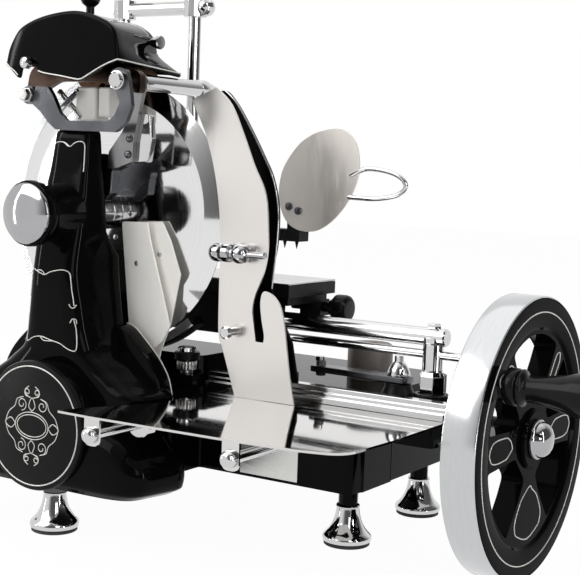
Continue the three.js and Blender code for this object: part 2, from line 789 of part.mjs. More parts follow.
function buildDrive() {
  const wheelAxis = assembly(0, driveShaftY, driveShaftZ);
  const shaftLeft = crossShaftX + crossShaftRadius + 2 * runGap;
  const shaft = rod("x", [0, 0, 0], driveShaftRadius, shaftLeft, wheelBack + wheelHubFront - restGap);
  mesh(wheelAxis, "wheel_shaft", shaft, "steel");
  bushingPlaces().forEach(([from, to], i) => {
    const end = Math.min(to, wheelBearingEnd);
    const bush = tube("x", [0, 0, 0], driveShaftRadius + restGap, bushRadius, from + restGap, end);
    mesh(wheelAxis, i ? "outer_wheel_bush" : "inner_wheel_bush", bush, "bronze");
  });
  const halfTooth = Math.PI / bevelTeeth;
  const wheelBevel = bevelGear(0, driveShaftRadius + restGap);
  mesh(wheelAxis, "wheel_bevel_gear", wheelBevel.translate([crossShaftX, 0, 0]), "steel");

  const crossAxis = assembly(crossShaftX, 0, driveShaftZ);
  const crossShaft = rod("y", [0, 0, 0], crossShaftRadius, spurFront - crossShaftStub, crossShaftRear);
  const flip = new THREE.Matrix4().makeRotationZ(Math.PI / 2);
  const crossBevel = turnedSolid(bevelGear(halfTooth, crossShaftRadius + restGap), flip);
  mesh(crossAxis, "cross_bevel_gear", crossBevel.translate([0, driveShaftY, 0]), "steel");

  const reach = Math.hypot(crossShaftX, driveShaftZ - sprocketAxisZ);
  const module = (2 * reach) / (spurTeeth + pinionTeeth);
  const line = Math.atan2(sprocketAxisZ - driveShaftZ, -crossShaftX);
  const spurRadius = (module * spurTeeth) / 2;
  const pinionRadius = (module * pinionTeeth) / 2;
  const spurRoot = spurRadius - module * 1.2;
  const spurTip = spurRadius + module * 0.85;
  const spur = plateY(
    gearOutline(spurTeeth, spurRoot, spurTip, line, toothRootShare, toothTipShare),
    spurFront,
    spurFront + spurWidth,
  );
  mesh(crossAxis, "cross_gear_shaft", join(crossShaft, spur), "steel");

  const sprocketAxis = assembly(0, 0, sprocketAxisZ);
  const pinionPhase = line + Math.PI + Math.PI / pinionTeeth;
  const pinionRoot = pinionRadius - module * 1.2;
  const pinionTip = pinionRadius + module * 0.85;
  const pinion = plateY(
    gearOutline(pinionTeeth, pinionRoot, pinionTip, pinionPhase, toothRootShare, toothTipShare),
    spurFront,
    spurFront + spurWidth,
  );
  const lowBore = rod("y", [0, 0, 0], crossShaftRadius + restGap, 0, columnCavityRear);
  const lowShaft = rod("y", [0, 0, 0], crossShaftRadius, housingFrontY + shaftInset, columnRearY - shaftInset);
  mesh(sprocketAxis, "pinion_shaft", join(lowShaft, pinion), "steel");
  mesh(sprocketAxis, "lower_sprocket", cut(sprocket(lowerSprocketTeeth), lowBore), "steel");

  const bladeAxis = assembly(0, 0, bladeAxisZ);
  const highBore = rod("y", [0, 0, 0], bladeShaftRadius + restGap, 0, columnCavityRear);
  mesh(bladeAxis, "upper_sprocket", cut(sprocket(upperSprocketTeeth), highBore), "steel");

  const low = sprocketRoot(lowerSprocketTeeth) + restGap;
  const high = sprocketRoot(upperSprocketTeeth) + restGap;
  const chainBack = chainFront + chainWidth;
  const outerLoop = loopOutline(sprocketAxisZ, low + chainThick, bladeAxisZ, high + chainThick, loopSteps);
  const outer = plateY(outerLoop, chainFront, chainBack);
  const innerLoop = loopOutline(sprocketAxisZ, low, bladeAxisZ, high, loopSteps);
  const inner = plateY(innerLoop, chainFront - overrun, chainBack + overrun);
  const groove = sprocketToothHeight + 2 * runGap;
  const middle = chainFront + chainWidth / 2;
  const channel = plateY(
    loopOutline(sprocketAxisZ, low + groove, bladeAxisZ, high + groove, loopSteps),
    middle - sprocketWidth / 2 - runGap,
    middle + sprocketWidth / 2 + runGap,
  );
  mesh(slicer, "drive_chain", cut(outer, inner, channel), "steel");
}

function sprocketRoot(teeth) {
  return (chainPitch * teeth) / (2 * Math.PI);
}

function sprocket(teeth) {
  const root = sprocketRoot(teeth);
  const middle = chainFront + chainWidth / 2;
  const outline = gearOutline(teeth, root, root + sprocketToothHeight, 0, sprocketRootShare, sprocketTipShare);
  return plateY(outline, middle - sprocketWidth / 2, middle + sprocketWidth / 2);
}

// Blade with its shaft, bearing sleeve and guard ring
function buildBlade() {
  const axis = assembly(0, 0, bladeAxisZ);
  const back = bladeBackY - bladeEdgeSet;
  const bevelIn = bladeRadius - bladeBevelWidth;
  const bevelY = bladeBackY - bladeBevelDrop - bladeBodySet;
  const dishY = bevelY - bladeDishDepth;
  const blade = turned("y", [0, 0, 0], [
    [bladeShaftRadius + restGap, dishY],
    [bladeHubRadius, dishY],
    [bevelIn, bevelY],
    [bladeRadius, back],
    [bladeRadius, back + bladeEdgeThick],
    [bevelIn, bevelY + bladeWebThick],
    [bladeHubRadius, dishY + bladeWebThick],
    [bladeShaftRadius + restGap, dishY + bladeWebThick],
    [bladeShaftRadius + restGap, dishY],
  ], largeSides);
  mesh(axis, "blade", blade, "mirror");
  const hubFront = dishY - restGap - bladeHubLength;
  const hub = turned("y", [0, 0, 0], [
    [0, hubFront],
    [bladeHubRadius * 0.6, hubFront],
    [bladeHubRadius, hubFront + bladeHubLength * 0.5],
    [bladeHubRadius, dishY - restGap],
    [0, dishY - restGap],
  ], 2 * smallSides);
  const shaft = turned("y", [0, 0, 0], [
    [0, badgeFrontY + 2 * badgeDome],
    [bladeShaftRadius, badgeFrontY + 2 * badgeDome],
    [bladeShaftRadius, dishY + bladeWebThick + restGap],
    [bladeShaftRadius * 1.8, dishY + bladeWebThick + restGap],
    [bladeShaftRadius * 1.5, dishY + bladeWebThick + bladeShaftRadius * 0.6],
    [0, dishY + bladeWebThick + bladeShaftRadius * 0.6],
  ]);
  mesh(axis, "blade_shaft", join(shaft, hub), "steel");
  const sleeveBack = hubFront - restGap;
  const sleeveInner = bladeShaftRadius + restGap;
  const sleeve = tube("y", [0, 0, 0], sleeveInner, bearingSleeveRadius, bearingSleeveFront, sleeveBack);
  mesh(axis, "blade_bearing", sleeve, "steel");

  const inner = bladeRadius + guardInnerGap;
  const outer = inner + guardWidth;
  const start = THREE.MathUtils.degToRad(guardStartDegrees);
  const end = THREE.MathUtils.degToRad(guardEndDegrees);
  const steps = largeSides;
  const arcPoints = (radius, from, to) =>
    Array.from({ length: steps + 1 }, (_, i) => {
      const turn = from + ((to - from) * i) / steps;
      return [radius * Math.cos(turn), radius * Math.sin(turn)];
    });
  const guardFront = bladeBackY + bladeEdgeSet;
  const guardBack = guardFront + guardDepth;
  const ringOutline = [...arcPoints(outer, start, end), ...arcPoints(inner, end, start)];
  const ring = plateY(ringOutline, guardFront, guardBack);
  const foot = block(
    [-guardFootHalf, guardFront + guardFootInset, baseStepZ + restGap - bladeAxisZ],
    [guardFootHalf, guardBack - guardFootInset, -inner - overrun],
  );
  mesh(axis, "blade_guard_ring", join(ring, foot), "aluminium");
}

// Flywheel with curved spokes, and its crank
function buildFlywheel() {
  const axis = assembly(wheelBack, driveShaftY, driveShaftZ);
  const tyreInner = wheelRadius - wheelTyreThick;
  const tyre = tube("x", [0, 0, 0], tyreInner + restGap, wheelRadius, 0, wheelWidth, largeSides);
  mesh(axis, "wheel_tyre", tyre, "chrome");
  const rim = tube("x", [0, 0, 0], wheelRimInner, tyreInner, 0, wheelWidth, largeSides);
  const web = rod("x", [0, 0, 0], wheelRimInner + overrun, wheelWebBack, wheelWebFront, largeSides);
  const openings = spokes.map((spoke, i) => {
    const next = spokes[(i + 1) % spokes.length];
    return plateX(spokeOpening(spoke, next), wheelWebBack - overrun, wheelWebFront + overrun);
  });
  const hub = rod("x", [0, 0, 0], wheelHubRadius, runGap, wheelHubFront);
  const bore = rod("x", [0, 0, 0], driveShaftRadius + restGap, -overrun, wheelHubFront + overrun);
  const pinSpot = crankSpot();
  const bossRadius = gripNeckRadius * 1.5;
  const bossBack = wheelWebBack - overrun;
  const crankBoss = rod("x", pinSpot, bossRadius, bossBack, crankFace, smallSides);
  const pinRoom = crankPinRadius + restGap;
  const pinBore = rod("x", pinSpot, pinRoom, bossBack - overrun, wheelHubFront, smallSides);
  const crankRecess = rod("x", pinSpot, bossRadius + runGap, crankFace, wheelHubFront);
  const body = cut(join(cut(join(rim, web), ...openings), hub, crankBoss), bore, crankRecess, pinBore);
  mesh(axis, "flywheel", body, "glossBlack");
  const cap = turned("x", [wheelHubFront + restGap, 0, 0], [
    [0, 0],
    [wheelHubCap, 0],
    [wheelHubCap, wheelHubCap * 0.2],
    [wheelHubCap * 0.8, wheelHubCap * 0.55],
    [wheelHubCap * 0.45, wheelHubCap * 0.75],
    [0, wheelHubCap * 0.82],
  ]);
  mesh(axis, "wheel_hub_cap", cap, "chrome");

  const collarStart = crankFace + restGap;
  const gripStart = collarStart + crankCollarLength;
  const pin = turned("x", pinSpot, [
    [0, wheelWebBack - overrun],
    [crankPinRadius, wheelWebBack - overrun],
    [crankPinRadius, collarStart],
    [gripNeckRadius * 0.9, collarStart],
    [gripNeckRadius * 0.9, collarStart + crankCollarLength * 0.55],
    [gripNeckRadius * 0.7, collarStart + crankCollarLength * 0.65],
    [gripNeckRadius * 0.7, gripStart - restGap],
    [crankPinRadius, gripStart - restGap],
    [crankPinRadius, gripStart + gripLength * 0.8],
    [0, gripStart + gripLength * 0.8],
  ]);
  mesh(axis, "crank_pin", pin, "chrome");
  const boreEnd = gripStart + gripLength * 0.8 + runGap;
  const gripBore = rod("x", pinSpot, crankPinRadius + runGap, gripStart - overrun, boreEnd, smallSides);
  const grip = turned("x", pinSpot, [
    [0, gripStart],
    [gripNeckRadius * 1.35, gripStart],
    [gripNeckRadius * 1.35, gripStart + gripLength * 0.06],
    [gripNeckRadius, gripStart + gripLength * 0.09],
    [gripNeckRadius * 1.1, gripStart + gripLength * 0.18],
    [gripRadius * 0.72, gripStart + gripLength * 0.45],
    [gripRadius * 0.95, gripStart + gripLength * 0.7],
    [gripRadius, gripStart + gripLength * 0.8],
    [gripRadius * 0.93, gripStart + gripLength * 0.91],
    [gripRadius * 0.6, gripStart + gripLength * 0.98],
    [0, gripStart + gripLength],
  ]);
  mesh(axis, "crank_grip", cut(grip, gripBore), "glossBlack");
}

function crankSpot() {
  const turn = THREE.MathUtils.degToRad(crankAngleDegrees);
  return [0, crankRadius * Math.cos(turn), crankRadius * Math.sin(turn)];
}

// One opening between two spokes, in Y and Z. Each spoke's half width grows from the hub to the rim.
function spokeOpening(spoke, next) {
  const stations = spoke.halves.length - 1;
  const span = wheelOpeningOuter - wheelOpeningInner;
  const edge = (side, sign) =>
    side.halves.map((half, i) => {
      const radius = wheelOpeningInner + (span * i) / stations;
      const turn = THREE.MathUtils.degToRad(side.degrees) + sign * Math.asin(half / radius);
      const corner = i === 0 ? openingTip : i === stations ? openingCorner : restGap;
      return [radius, turn, corner];
    });
  const rising = edge(spoke, 1);
  const falling = edge(next, -1).reverse();
  const from = rising[stations][1];
  const lap = next.degrees < spoke.degrees ? 2 * Math.PI : 0;
  const to = falling[0][1] + lap;
  const arc = [];
  for (let i = 1; i < arcSteps; i++) {
    arc.push([wheelOpeningOuter, from + ((to - from) * i) / arcSteps, restGap]);
  }
  const spots = [...rising, ...arc, ...falling];
  const points = spots.map(([radius, turn, corner]) => [
    radius * Math.cos(turn),
    radius * Math.sin(turn),
    corner,
  ]);
  return rounded(points, openingTip);
}

const arcSteps = 6;

// Slice tray with its two bent tabs and support rods
const trayBack = baseFront - 2 * restGap;
const trayOutline = [
  [90, -90, 6],
  [120, -91],
  [262, -86],
  [325, -81, 20],
  [364, -70, 26],
  [368, 0],
  [368, trayBack],
  [127, trayBack],
  [127, 2],
];

function buildTray() {
  const sheet = plateZ(rounded(trayOutline, sheetThick), trayTop - sheetThick, trayTop);
  const tabs = [];
  const holes = [];
  trayRodXs.forEach((x, i) => {
    const front = trayTabFronts[i];
    tabs.push(block(
      [x - trayTabWidth / 2, front, trayTop - trayTabDrop],
      [x + trayTabWidth / 2, front + sheetThick, trayTop - sheetThick / 2],
    ));
    const back = front + sheetThick;
    const stud = trayRodRadius * 0.6;
    holes.push(rod("y", [x, 0, trayRodZ], stud + restGap, front - overrun, back + overrun, smallSides));
    const end = i ? baseFront + baseWall - overrun : -overrun;
    const support = turned("y", [x, 0, trayRodZ], [
      [0, front - restGap - trayNutLength],
      [trayRodRadius * 1.2, front - restGap - trayNutLength * 0.75],
      [trayRodRadius * 1.5, front - restGap - trayNutLength * 0.38],
      [trayRodRadius * 1.5, front - restGap],
      [stud, front - restGap],
      [stud, front + sheetThick + restGap],
      [trayRodRadius, front + sheetThick + restGap],
      [trayRodRadius, end],
      [0, end],
    ], smallSides);
    mesh(slicer, i ? "right_tray_rod" : "left_tray_rod", support, "chrome");
  });
  mesh(slicer, "slice_tray", cut(join(sheet, ...tabs), ...holes), "mirror");
}

// Deflector: one bent polished plate that stands on the tray
const deflectorFoot = trayTop + restGap;
const deflectorLeft = [
  [158, deflectorFoot], [141, 190], [137, 200], [136, 280], [133, 322], [125, 361], [113, 394], [97, 422],
];
const deflectorRight = [
  [126, 434], [144, 418], [159, 390], [172, 362], [186, 335], [189, 300], [189, 280], [185, 260],
  [181, 248], [190, 247], [200, 244], [208, 236], [213, 220], [225, deflectorFoot],
];
const nutThick = 3;
const deflectorSlot = { left: 174, right: 184, bottom: 197, top: 238, corner: 4 };
const deflectorScrew = { x: 154, z: 204, radius: 4, head: 6, length: 14 };
const clampSpot = { z: 279, left: 131, right: 171, radius: 6.5, rodRadius: 2.5 };

function buildDeflector() {
  const front = deflectorY;
  const back = front + deflectorThick;
  const sheet = plateY([...deflectorLeft, ...deflectorRight], front, back);
  const slot = plateY(rounded([
    [deflectorSlot.left, deflectorSlot.bottom],
    [deflectorSlot.right, deflectorSlot.bottom],
    [deflectorSlot.right, deflectorSlot.top],
    [deflectorSlot.left, deflectorSlot.top],
  ], deflectorSlot.corner), front - overrun, back + overrun);
  const screwPlace = [deflectorScrew.x, 0, deflectorScrew.z];
  const screwRoom = deflectorScrew.radius + restGap;
  const screwHole = rod("y", screwPlace, screwRoom, front - overrun, back + overrun, smallSides);
  const middle = (clampSpot.left + clampSpot.right) / 2;
  const clampPlace = [middle, 0, clampSpot.z];
  const stemRadius = clampSpot.rodRadius * 2;
  const clampHole = rod("y", clampPlace, stemRadius + restGap, front - overrun, back + overrun, smallSides);
  mesh(slicer, "slice_deflector", cut(sheet, slot, screwHole, clampHole), "mirror");
  const head = deflectorScrew.head;
  const screwFront = front - restGap - deflectorScrew.length;
  const screw = turned("y", screwPlace, [
    [0, screwFront],
    [head, screwFront],
    [head, screwFront + head * 0.8],
    [head * 0.7, screwFront + head],
    [head * 0.7, front - restGap],
    [deflectorScrew.radius, front - restGap],
    [deflectorScrew.radius, back + nutThick],
    [0, back + nutThick],
  ], smallSides);
  mesh(slicer, "deflector_screw", screw, "chrome");
  const length = clampSpot.right - clampSpot.left;
  const barrelY = front - restGap - clampSpot.radius;
  const barrel = turned("x", [clampSpot.left, barrelY, clampSpot.z], [
    [0, 0],
    [clampSpot.radius * 0.7, 0],
    [clampSpot.radius, length * 0.1],
    [clampSpot.radius, length * 0.35],
    [clampSpot.radius * 0.75, length * 0.4],
    [clampSpot.radius * 0.75, length * 0.65],
    [clampSpot.radius * 0.95, length * 0.7],
    [clampSpot.radius * 0.95, length * 0.92],
    [clampSpot.radius * 0.5, length],
    [0, length],
  ], smallSides);
  const stem = rod("y", clampPlace, stemRadius, barrelY, back + nutThick, smallSides);
  const pinPlace = [middle, barrelY, clampSpot.z];
  const pin = rod("z", pinPlace, clampSpot.rodRadius, 0, 3 * clampSpot.radius, smallSides);
  mesh(slicer, "deflector_clamp", join(barrel, stem, pin), "chrome");
}

// Gauge plate on the meat side of the deflector, moved by the thickness knob
const gaugeY = 96;
const gaugeThick = 4;
const gaugeFoot = {
  left: 156,
  right: 206,
  depth: 16,
  bottom: baseStepZ + railHeight + 2 * restGap,
  top: 167,
};
const gaugeSheetZ = 159;
const gaugeOutline = [
  [150, gaugeSheetZ], [214, gaugeSheetZ], [206, 196], [190, 246], [192, 300], [190, 330],
  [176, 366], [160, 396], [140, 424], [121, 434], [114, 422], [130, 392],
  [141, 356], [146, 322], [147, 300], [146, 262], [138, 228],
];

function buildGauge() {
  const sheet = plateY(gaugeOutline, gaugeY, gaugeY + gaugeThick);
  const foot = block(
    [gaugeFoot.left, gaugeY, gaugeFoot.bottom],
    [gaugeFoot.right, gaugeY + gaugeFoot.depth, gaugeFoot.top],
  );
  mesh(slicer, "gauge_plate", join(sheet, foot), "satinBlack");
}

const knobSpot = {
  x: 84,
  y: 96,
  stemRadius: 4,
  radius: 10,
  height: 9,
  stemTop: 38,
  neck: 3,
  blockHalf: 15,
  blockHeight: 12,
};

function buildThicknessKnob() {
  const seat = knobSpot.blockHeight + restGap;
  const neckTop = knobSpot.blockHeight + knobSpot.neck;
  const profile = [
    [0, 2 * runGap],
    [knobSpot.stemRadius, 2 * runGap],
    [knobSpot.stemRadius, seat],
    [knobSpot.stemRadius * 1.6, seat],
    [knobSpot.stemRadius * 1.6, neckTop],
    [knobSpot.radius, neckTop],
    [knobSpot.radius, neckTop + knobSpot.height],
    [knobSpot.stemRadius, neckTop + knobSpot.height],
    [knobSpot.stemRadius, knobSpot.stemTop * 0.97],
    [0, knobSpot.stemTop],
  ];
  mesh(slicer, "thickness_knob", turned("z", [knobSpot.x, knobSpot.y, baseStepZ + restGap], profile), "steel");
}

// Scraper plate beside the column
const scraper = {
  topX: 38,
  topZ: bladeAxisZ - 10,
  footX: 62,
  footZ: 196,
  front: 52,
  topBack: 70,
  footBack: 78,
  thick: 1.6,
  corner: 8,
  footCorner: 1,
};

function buildScraper() {
  const bottom = baseStepZ + restGap;
  const outline = rounded([
    [scraper.front, bottom, scraper.footCorner],
    [scraper.footBack, bottom, scraper.footCorner],
    [scraper.footBack, scraper.footZ, scraper.footCorner],
    [scraper.topBack, scraper.topZ],
    [scraper.front, scraper.topZ],
  ], scraper.corner);
  const plate = plateX(outline, 0, scraper.thick);
  const lean = (scraper.topX - scraper.footX) / (scraper.topZ - scraper.footZ);
  const shift = scraper.footX - lean * scraper.footZ;
  const slant = new THREE.Matrix4().set(1, 0, lean, shift, 0, 1, 0, 0, 0, 0, 1, 0, 0, 0, 0, 1);
  mesh(slicer, "scraper_plate", turnedSolid(plate, slant), "mirror");
}

// Polished rail in front of the carriage
function buildRail() {
  const front = baseFront + restGap;
  const bottom = baseStepZ + restGap;
  const back = front + railDepth - restGap;
  const top = bottom + railHeight;
  const rail = plateX([
    [front, bottom],
    [back, bottom],
    [back, top],
    [front + railStep, top],
    [front + railStep, top - railLip],
    [front + railStep - railGroove, top - railLip],
    [front + railStep - railGroove, top - railShoulder],
    [front, top - railShoulder],
  ], railLeft, railRight);
  mesh(slicer, "front_rail", rail, "chrome");
}

// Guide bar on two posts, with a thin rod below it
function buildGuide() {
  const axis = assembly(0, guideY, 0);
  guidePostXs.forEach((x, i) => {
    const post = turned("z", [x, 0, 0], [
      [0, baseDeckZ + restGap],
      [guidePostHex, baseDeckZ + restGap],
      [guidePostHex, baseDeckZ + guidePostHexHeight * 0.85],
      [guidePostRadius, baseDeckZ + guidePostHexHeight],
      [guidePostRadius, guideZ],
      [0, guideZ],
    ], 2 * smallSides);
    const reach = 2 * guidePostRadius;
    const seat = rod("x", [x, 0, guideZ], guideRadius + restGap, -reach, reach);
    const low = rod("x", [x, 0, thinRodZ], thinRodRadius + restGap, -reach, reach, smallSides);
    mesh(axis, i ? "right_guide_post" : "left_guide_post", cut(post, seat, low), "steel");
  });
  const bar = rod("x", [0, 0, guideZ], guideRadius, guideLeft, guideRight);
  const screwTop = guideRadius + guideScrewHeight;
  const screw = rod("z", [guidePostXs[1], 0, guideZ], guideRadius * 0.45, 0, screwTop, smallSides);
  mesh(axis, "guide_bar", join(bar, screw), "chrome");
  const thin = rod("x", [0, 0, thinRodZ], thinRodRadius, guideLeft, thinRodRight, smallSides);
  mesh(axis, "thin_rod", thin, "chrome");
}

// Carriage drive lever on its cone pivot, and the drum behind it
const leverPivot = { x: 292, y: guideY, coneRadius: 13, neck: 5.5, capHeight: 13 };
const lever = {
  left: 196,
  halfWidth: 8,
  bottom: 163,
  thick: 6,
  corner: 7,
  boltRadius: 5,
  boltTop: 5,
  boltFoot: 4,
};
const drum = { x: 222, y: 222, radius: 23, top: 186, edge: 3 };

function buildLever() {
  const deck = baseDeckZ + restGap;
  const leverTop = lever.bottom + lever.thick;
  const pivotTop = thinRodZ - thinRodRadius - 2 * runGap;
  const pivot = turned("z", [leverPivot.x, leverPivot.y, 0], [
    [0, deck],
    [leverPivot.coneRadius, deck],
    [leverPivot.coneRadius * 0.95, lever.bottom - runGap],
    [leverPivot.neck, lever.bottom - runGap],
    [leverPivot.neck, leverTop + runGap],
    [leverPivot.coneRadius * 0.85, leverTop + runGap],
    [leverPivot.coneRadius * 0.55, leverTop + leverPivot.capHeight * 0.85],
    [leverPivot.neck * 0.8, leverTop + leverPivot.capHeight],
    [leverPivot.neck * 0.8, pivotTop],
    [0, pivotTop],
  ]);
  mesh(slicer, "lever_pivot", pivot, "chrome");
  const arm = plateZ(rounded([
    [lever.left, leverPivot.y - lever.halfWidth],
    [leverPivot.x + leverPivot.coneRadius, leverPivot.y - lever.halfWidth * 1.4],
    [leverPivot.x + leverPivot.coneRadius, leverPivot.y + lever.halfWidth * 1.4],
    [lever.left, leverPivot.y + lever.halfWidth],
  ], lever.corner), lever.bottom, leverTop);
  const boltPlace = [lever.left + 2 * lever.boltRadius, leverPivot.y, 0];
  const boltFoot = lever.bottom - lever.boltFoot;
  const bolt = rod("z", boltPlace, lever.boltRadius, boltFoot, leverTop + lever.boltTop, hexSides);
  const borePlace = [leverPivot.x, leverPivot.y, 0];
  const boreRoom = leverPivot.neck + restGap;
  const bore = rod("z", borePlace, boreRoom, lever.bottom - overrun, leverTop + overrun, smallSides);
  mesh(slicer, "drive_lever", cut(join(arm, bolt), bore), "satinBlack");
  const cap = turned("z", [drum.x, drum.y, 0], [
    [0, deck],
    [drum.radius, deck],
    [drum.radius, drum.top - drum.edge],
    [drum.radius - drum.edge, drum.top],
    [0, drum.top],
  ]);
  mesh(slicer, "drive_drum", cap, "grey");
}

// Carriage on the guide bar
function buildCarriage() {
  const low = guideZ - saddleHeight / 2;
  const body = block(
    [saddleLeft, guideY - saddleHalfWidth, low],
    [saddleRight, guideY + saddleHalfWidth, low + saddleHeight],
  );
  const bore = rod("x", [0, guideY, guideZ], guideRadius + runGap, saddleLeft - overrun, saddleRight + overrun);
  const thinRoom = block(
    [saddleLeft - overrun, guideY - thinRodRadius - runGap, low - overrun],
    [saddleRight + overrun, guideY + thinRodRadius + runGap, thinRodZ + thinRodRadius + runGap],
  );
  mesh(slicer, "carriage_saddle", cut(body, bore, thinRoom), "glossBlack");
}

// Meat table on the carriage, moved across by its screw
function buildTable() {
  const bottom = tableTop - tableThick;
  const saddleTop = guideZ + saddleHeight / 2;
  const tray = block([tableLeft, tableFront, bottom], [tableRight, tableBack, tableTop - tableSkin - restGap]);
  const keel = block(
    [saddleLeft, tableFront + keelInset, saddleTop + restGap],
    [tableRight - tableInset, tableBack - tableInset, bottom + overrun],
  );
  const nut = block(
    [tableRight - slideLength, feedScrewY - slideHalf, feedScrewZ - slideHalf],
    [tableRight - tableInset, feedScrewY + slideHalf, saddleTop + overrun],
  );
  const screwPlace = [0, feedScrewY, feedScrewZ];
  const bore = rod("x", screwPlace, feedScrewRadius + restGap, saddleLeft, tableRight + overrun, smallSides);
  const socketTop = tableThick + overrun;
  const sockets = postXs.map((x) =>
    rod("z", [x, postY, bottom], postRadius + restGap, socketFloor, socketTop, smallSides),
  );
  mesh(slicer, "table_frame", cut(join(tray, keel, nut), bore, ...sockets), "satinBlack");
  const skin = block([tableLeft, tableFront, tableTop - tableSkin], [tableRight, tableBack, tableTop]);
  mesh(slicer, "table_top", cut(skin, ...sockets), "steel");
  const screw = turned("x", [tableRight, feedScrewY, feedScrewZ], [
    [0, -slideLength - feedScrewTail],
    [feedScrewRadius, -slideLength - feedScrewTail],
    [feedScrewRadius, feedKnobLength * 0.1],
    [feedKnobRadius * 0.6, feedKnobLength * 0.1],
    [feedKnobRadius * 0.6, feedKnobLength * 0.3],
    [feedKnobRadius, feedKnobLength * 0.4],
    [feedKnobRadius, feedKnobLength * 1.15],
    [feedKnobRadius * 0.85, feedKnobLength * 1.3],
    [0, feedKnobLength * 1.3],
  ]);
  mesh(slicer, "feed_knob", screw, "satinBlack");
}

// Press: two posts, a crosspiece, an arm with spikes and the hand guard
const handGuard = { y: 168, thick: 2, bottom: 298, wire: 2, bracketWidth: 16, bracketHeight: 22 };
const guardPoints = 28;
const wireSides = 6;
const wireSteps = 24;
const guardOutline = [
  [185, 401], [205, 397], [221, 384], [228, 366], [226, 346], [214, 322], [198, 305],
  [184, 298], [166, 300], [149, 309], [138, 324], [136, 338], [143, 360], [160, 386],
];
const handleLoop = [[222, 352], [245, 358], [268, 356], [279, 346], [268, 336], [245, 334], [220, 336]];

function buildPress() {
  const axis = assembly(0, postY, 0);
  postXs.forEach((x, i) => {
    const foot = tableTop - tableThick + socketFloor + restGap;
    const post = rod("z", [x, 0, 0], postRadius, foot, postTop, smallSides);
    mesh(axis, i ? "right_press_post" : "left_press_post", post, "chrome");
  });
  const half = postRadius * 1.5;
  const barPlace = [0, 0, crosspieceZ];
  const bar = rod("x", barPlace, half * 0.75, postXs[0] - crosspieceEnd, postXs[1] + crosspieceEnd, smallSides);
  const sphere = new THREE.SphereGeometry(half, smallSides, sphereRings);
  const ball = solid(sphere.translate(postXs[1] + crosspieceBall, 0, crosspieceZ));
  const collars = postXs.map((x) => rod("z", [x, 0, crosspieceZ], half * 1.25, -half, half, smallSides));
  const boreRadius = postRadius + restGap;
  const bores = postXs.map((x) => rod("z", [x, 0, crosspieceZ], boreRadius, -2 * half, 2 * half, smallSides));
  mesh(axis, "press_crosspiece", cut(join(bar, ball, ...collars), ...bores), "chrome");

  const armTop = pressArmZ + pressArmThick;
  const arm = block([postXs[0] - pressArmEnd, -pressArmHalf, pressArmZ], [pressArmRight, pressArmHalf, armTop]);
  const sleeves = postXs.map((x) => rod("z", [x, 0, pressArmZ], postRadius * 1.8, 0, pressSleeve));
  const slideBores = postXs.map((x) =>
    rod("z", [x, 0, pressArmZ], postRadius + runGap, -overrun, pressSleeve + overrun),
  );
  const firstSpike = postXs[1] + spikeStart;
  const spikeStep = (pressArmRight - spikeEnd - firstSpike) / (spikeCount - 1);
  const spikes = [];
  for (let i = 0; i < spikeCount; i++) {
    const profile = [[0, -spikeLength], [spikeRadius, 0], [spikeRadius, overrun], [0, overrun]];
    spikes.push(turned("z", [firstSpike + i * spikeStep, 0, pressArmZ], profile, sphereRings));
  }
  const guardBack = handGuard.y - postY - restGap + handGuard.thick;
  const bracket = block(
    [pressArmRight - handGuard.bracketWidth, guardBack + restGap, armTop - overrun],
    [pressArmRight, 0, handGuard.bottom + handGuard.bracketHeight],
  );
  mesh(axis, "press_arm", cut(join(arm, ...sleeves, ...spikes, bracket), ...slideBores), "satinBlack");

  const plateFront = handGuard.y - postY - restGap;
  const guard = plateY(smoothOutline(guardOutline, guardPoints), plateFront, plateFront + handGuard.thick);
  const wirePath = handleLoop.map(([x, z]) => [x, plateFront + handGuard.thick / 2, z]);
  const loop = swept(wirePath, handGuard.wire, wireSides, wireSteps);
  mesh(axis, "hand_guard", join(guard, loop), "mirror");
}

// Sharpener: bonnet, frame, two stones and tie rod; outlines are set out from the stones' height
const bonnetOutline = [
  [-70, -5], [-80, 10], [-79, 26], [-70, 38], [-50, 47], [-30, 53], [-9, coverCrest], [25, 51],
  [52, 42], [68, 24], [66, 6], [48, 2], [25, -8], [0, 0], [-40, 7], [-60, 9],
];
const coverHalf = 74;
const coverMouth = { half: 60, bottom: -21, top: 12, lip: 10 };
const topKnob = { x: -3, y: 40, stem: 4, radius: 10, height: 31 };
const neckHalf = 9;
const stoneXs = [-26, 24];
const yokeFront = 5;
const yokeThick = 5;
const yokeCorner = 6;
const yokeOutline = [
  [-68, -22], [-58, -10], [-48, -22], [-42, -35], [-22, -45], [22, -44], [38, -28], [50, -4],
  [tieRodX, 4], [76, -10], [66, -26], [52, -46], [32, -58], [-28, -58], [-50, -46],
];
const frameFront = 20;
const frameThick = 8;
const frameOutline = [
  [78, -22], [78, -2], [24, 20], [-36, 18], [-62, 0], [-66, -20], [-50, -22], [-26, -10], [24, -10],
];

function stoneFronts() {
  return [
    bladeBackY - bladeBevelDrop - 2 * stoneWidth - stoneMargin,
    bladeBackY + restGap + stoneMargin,
  ];
}

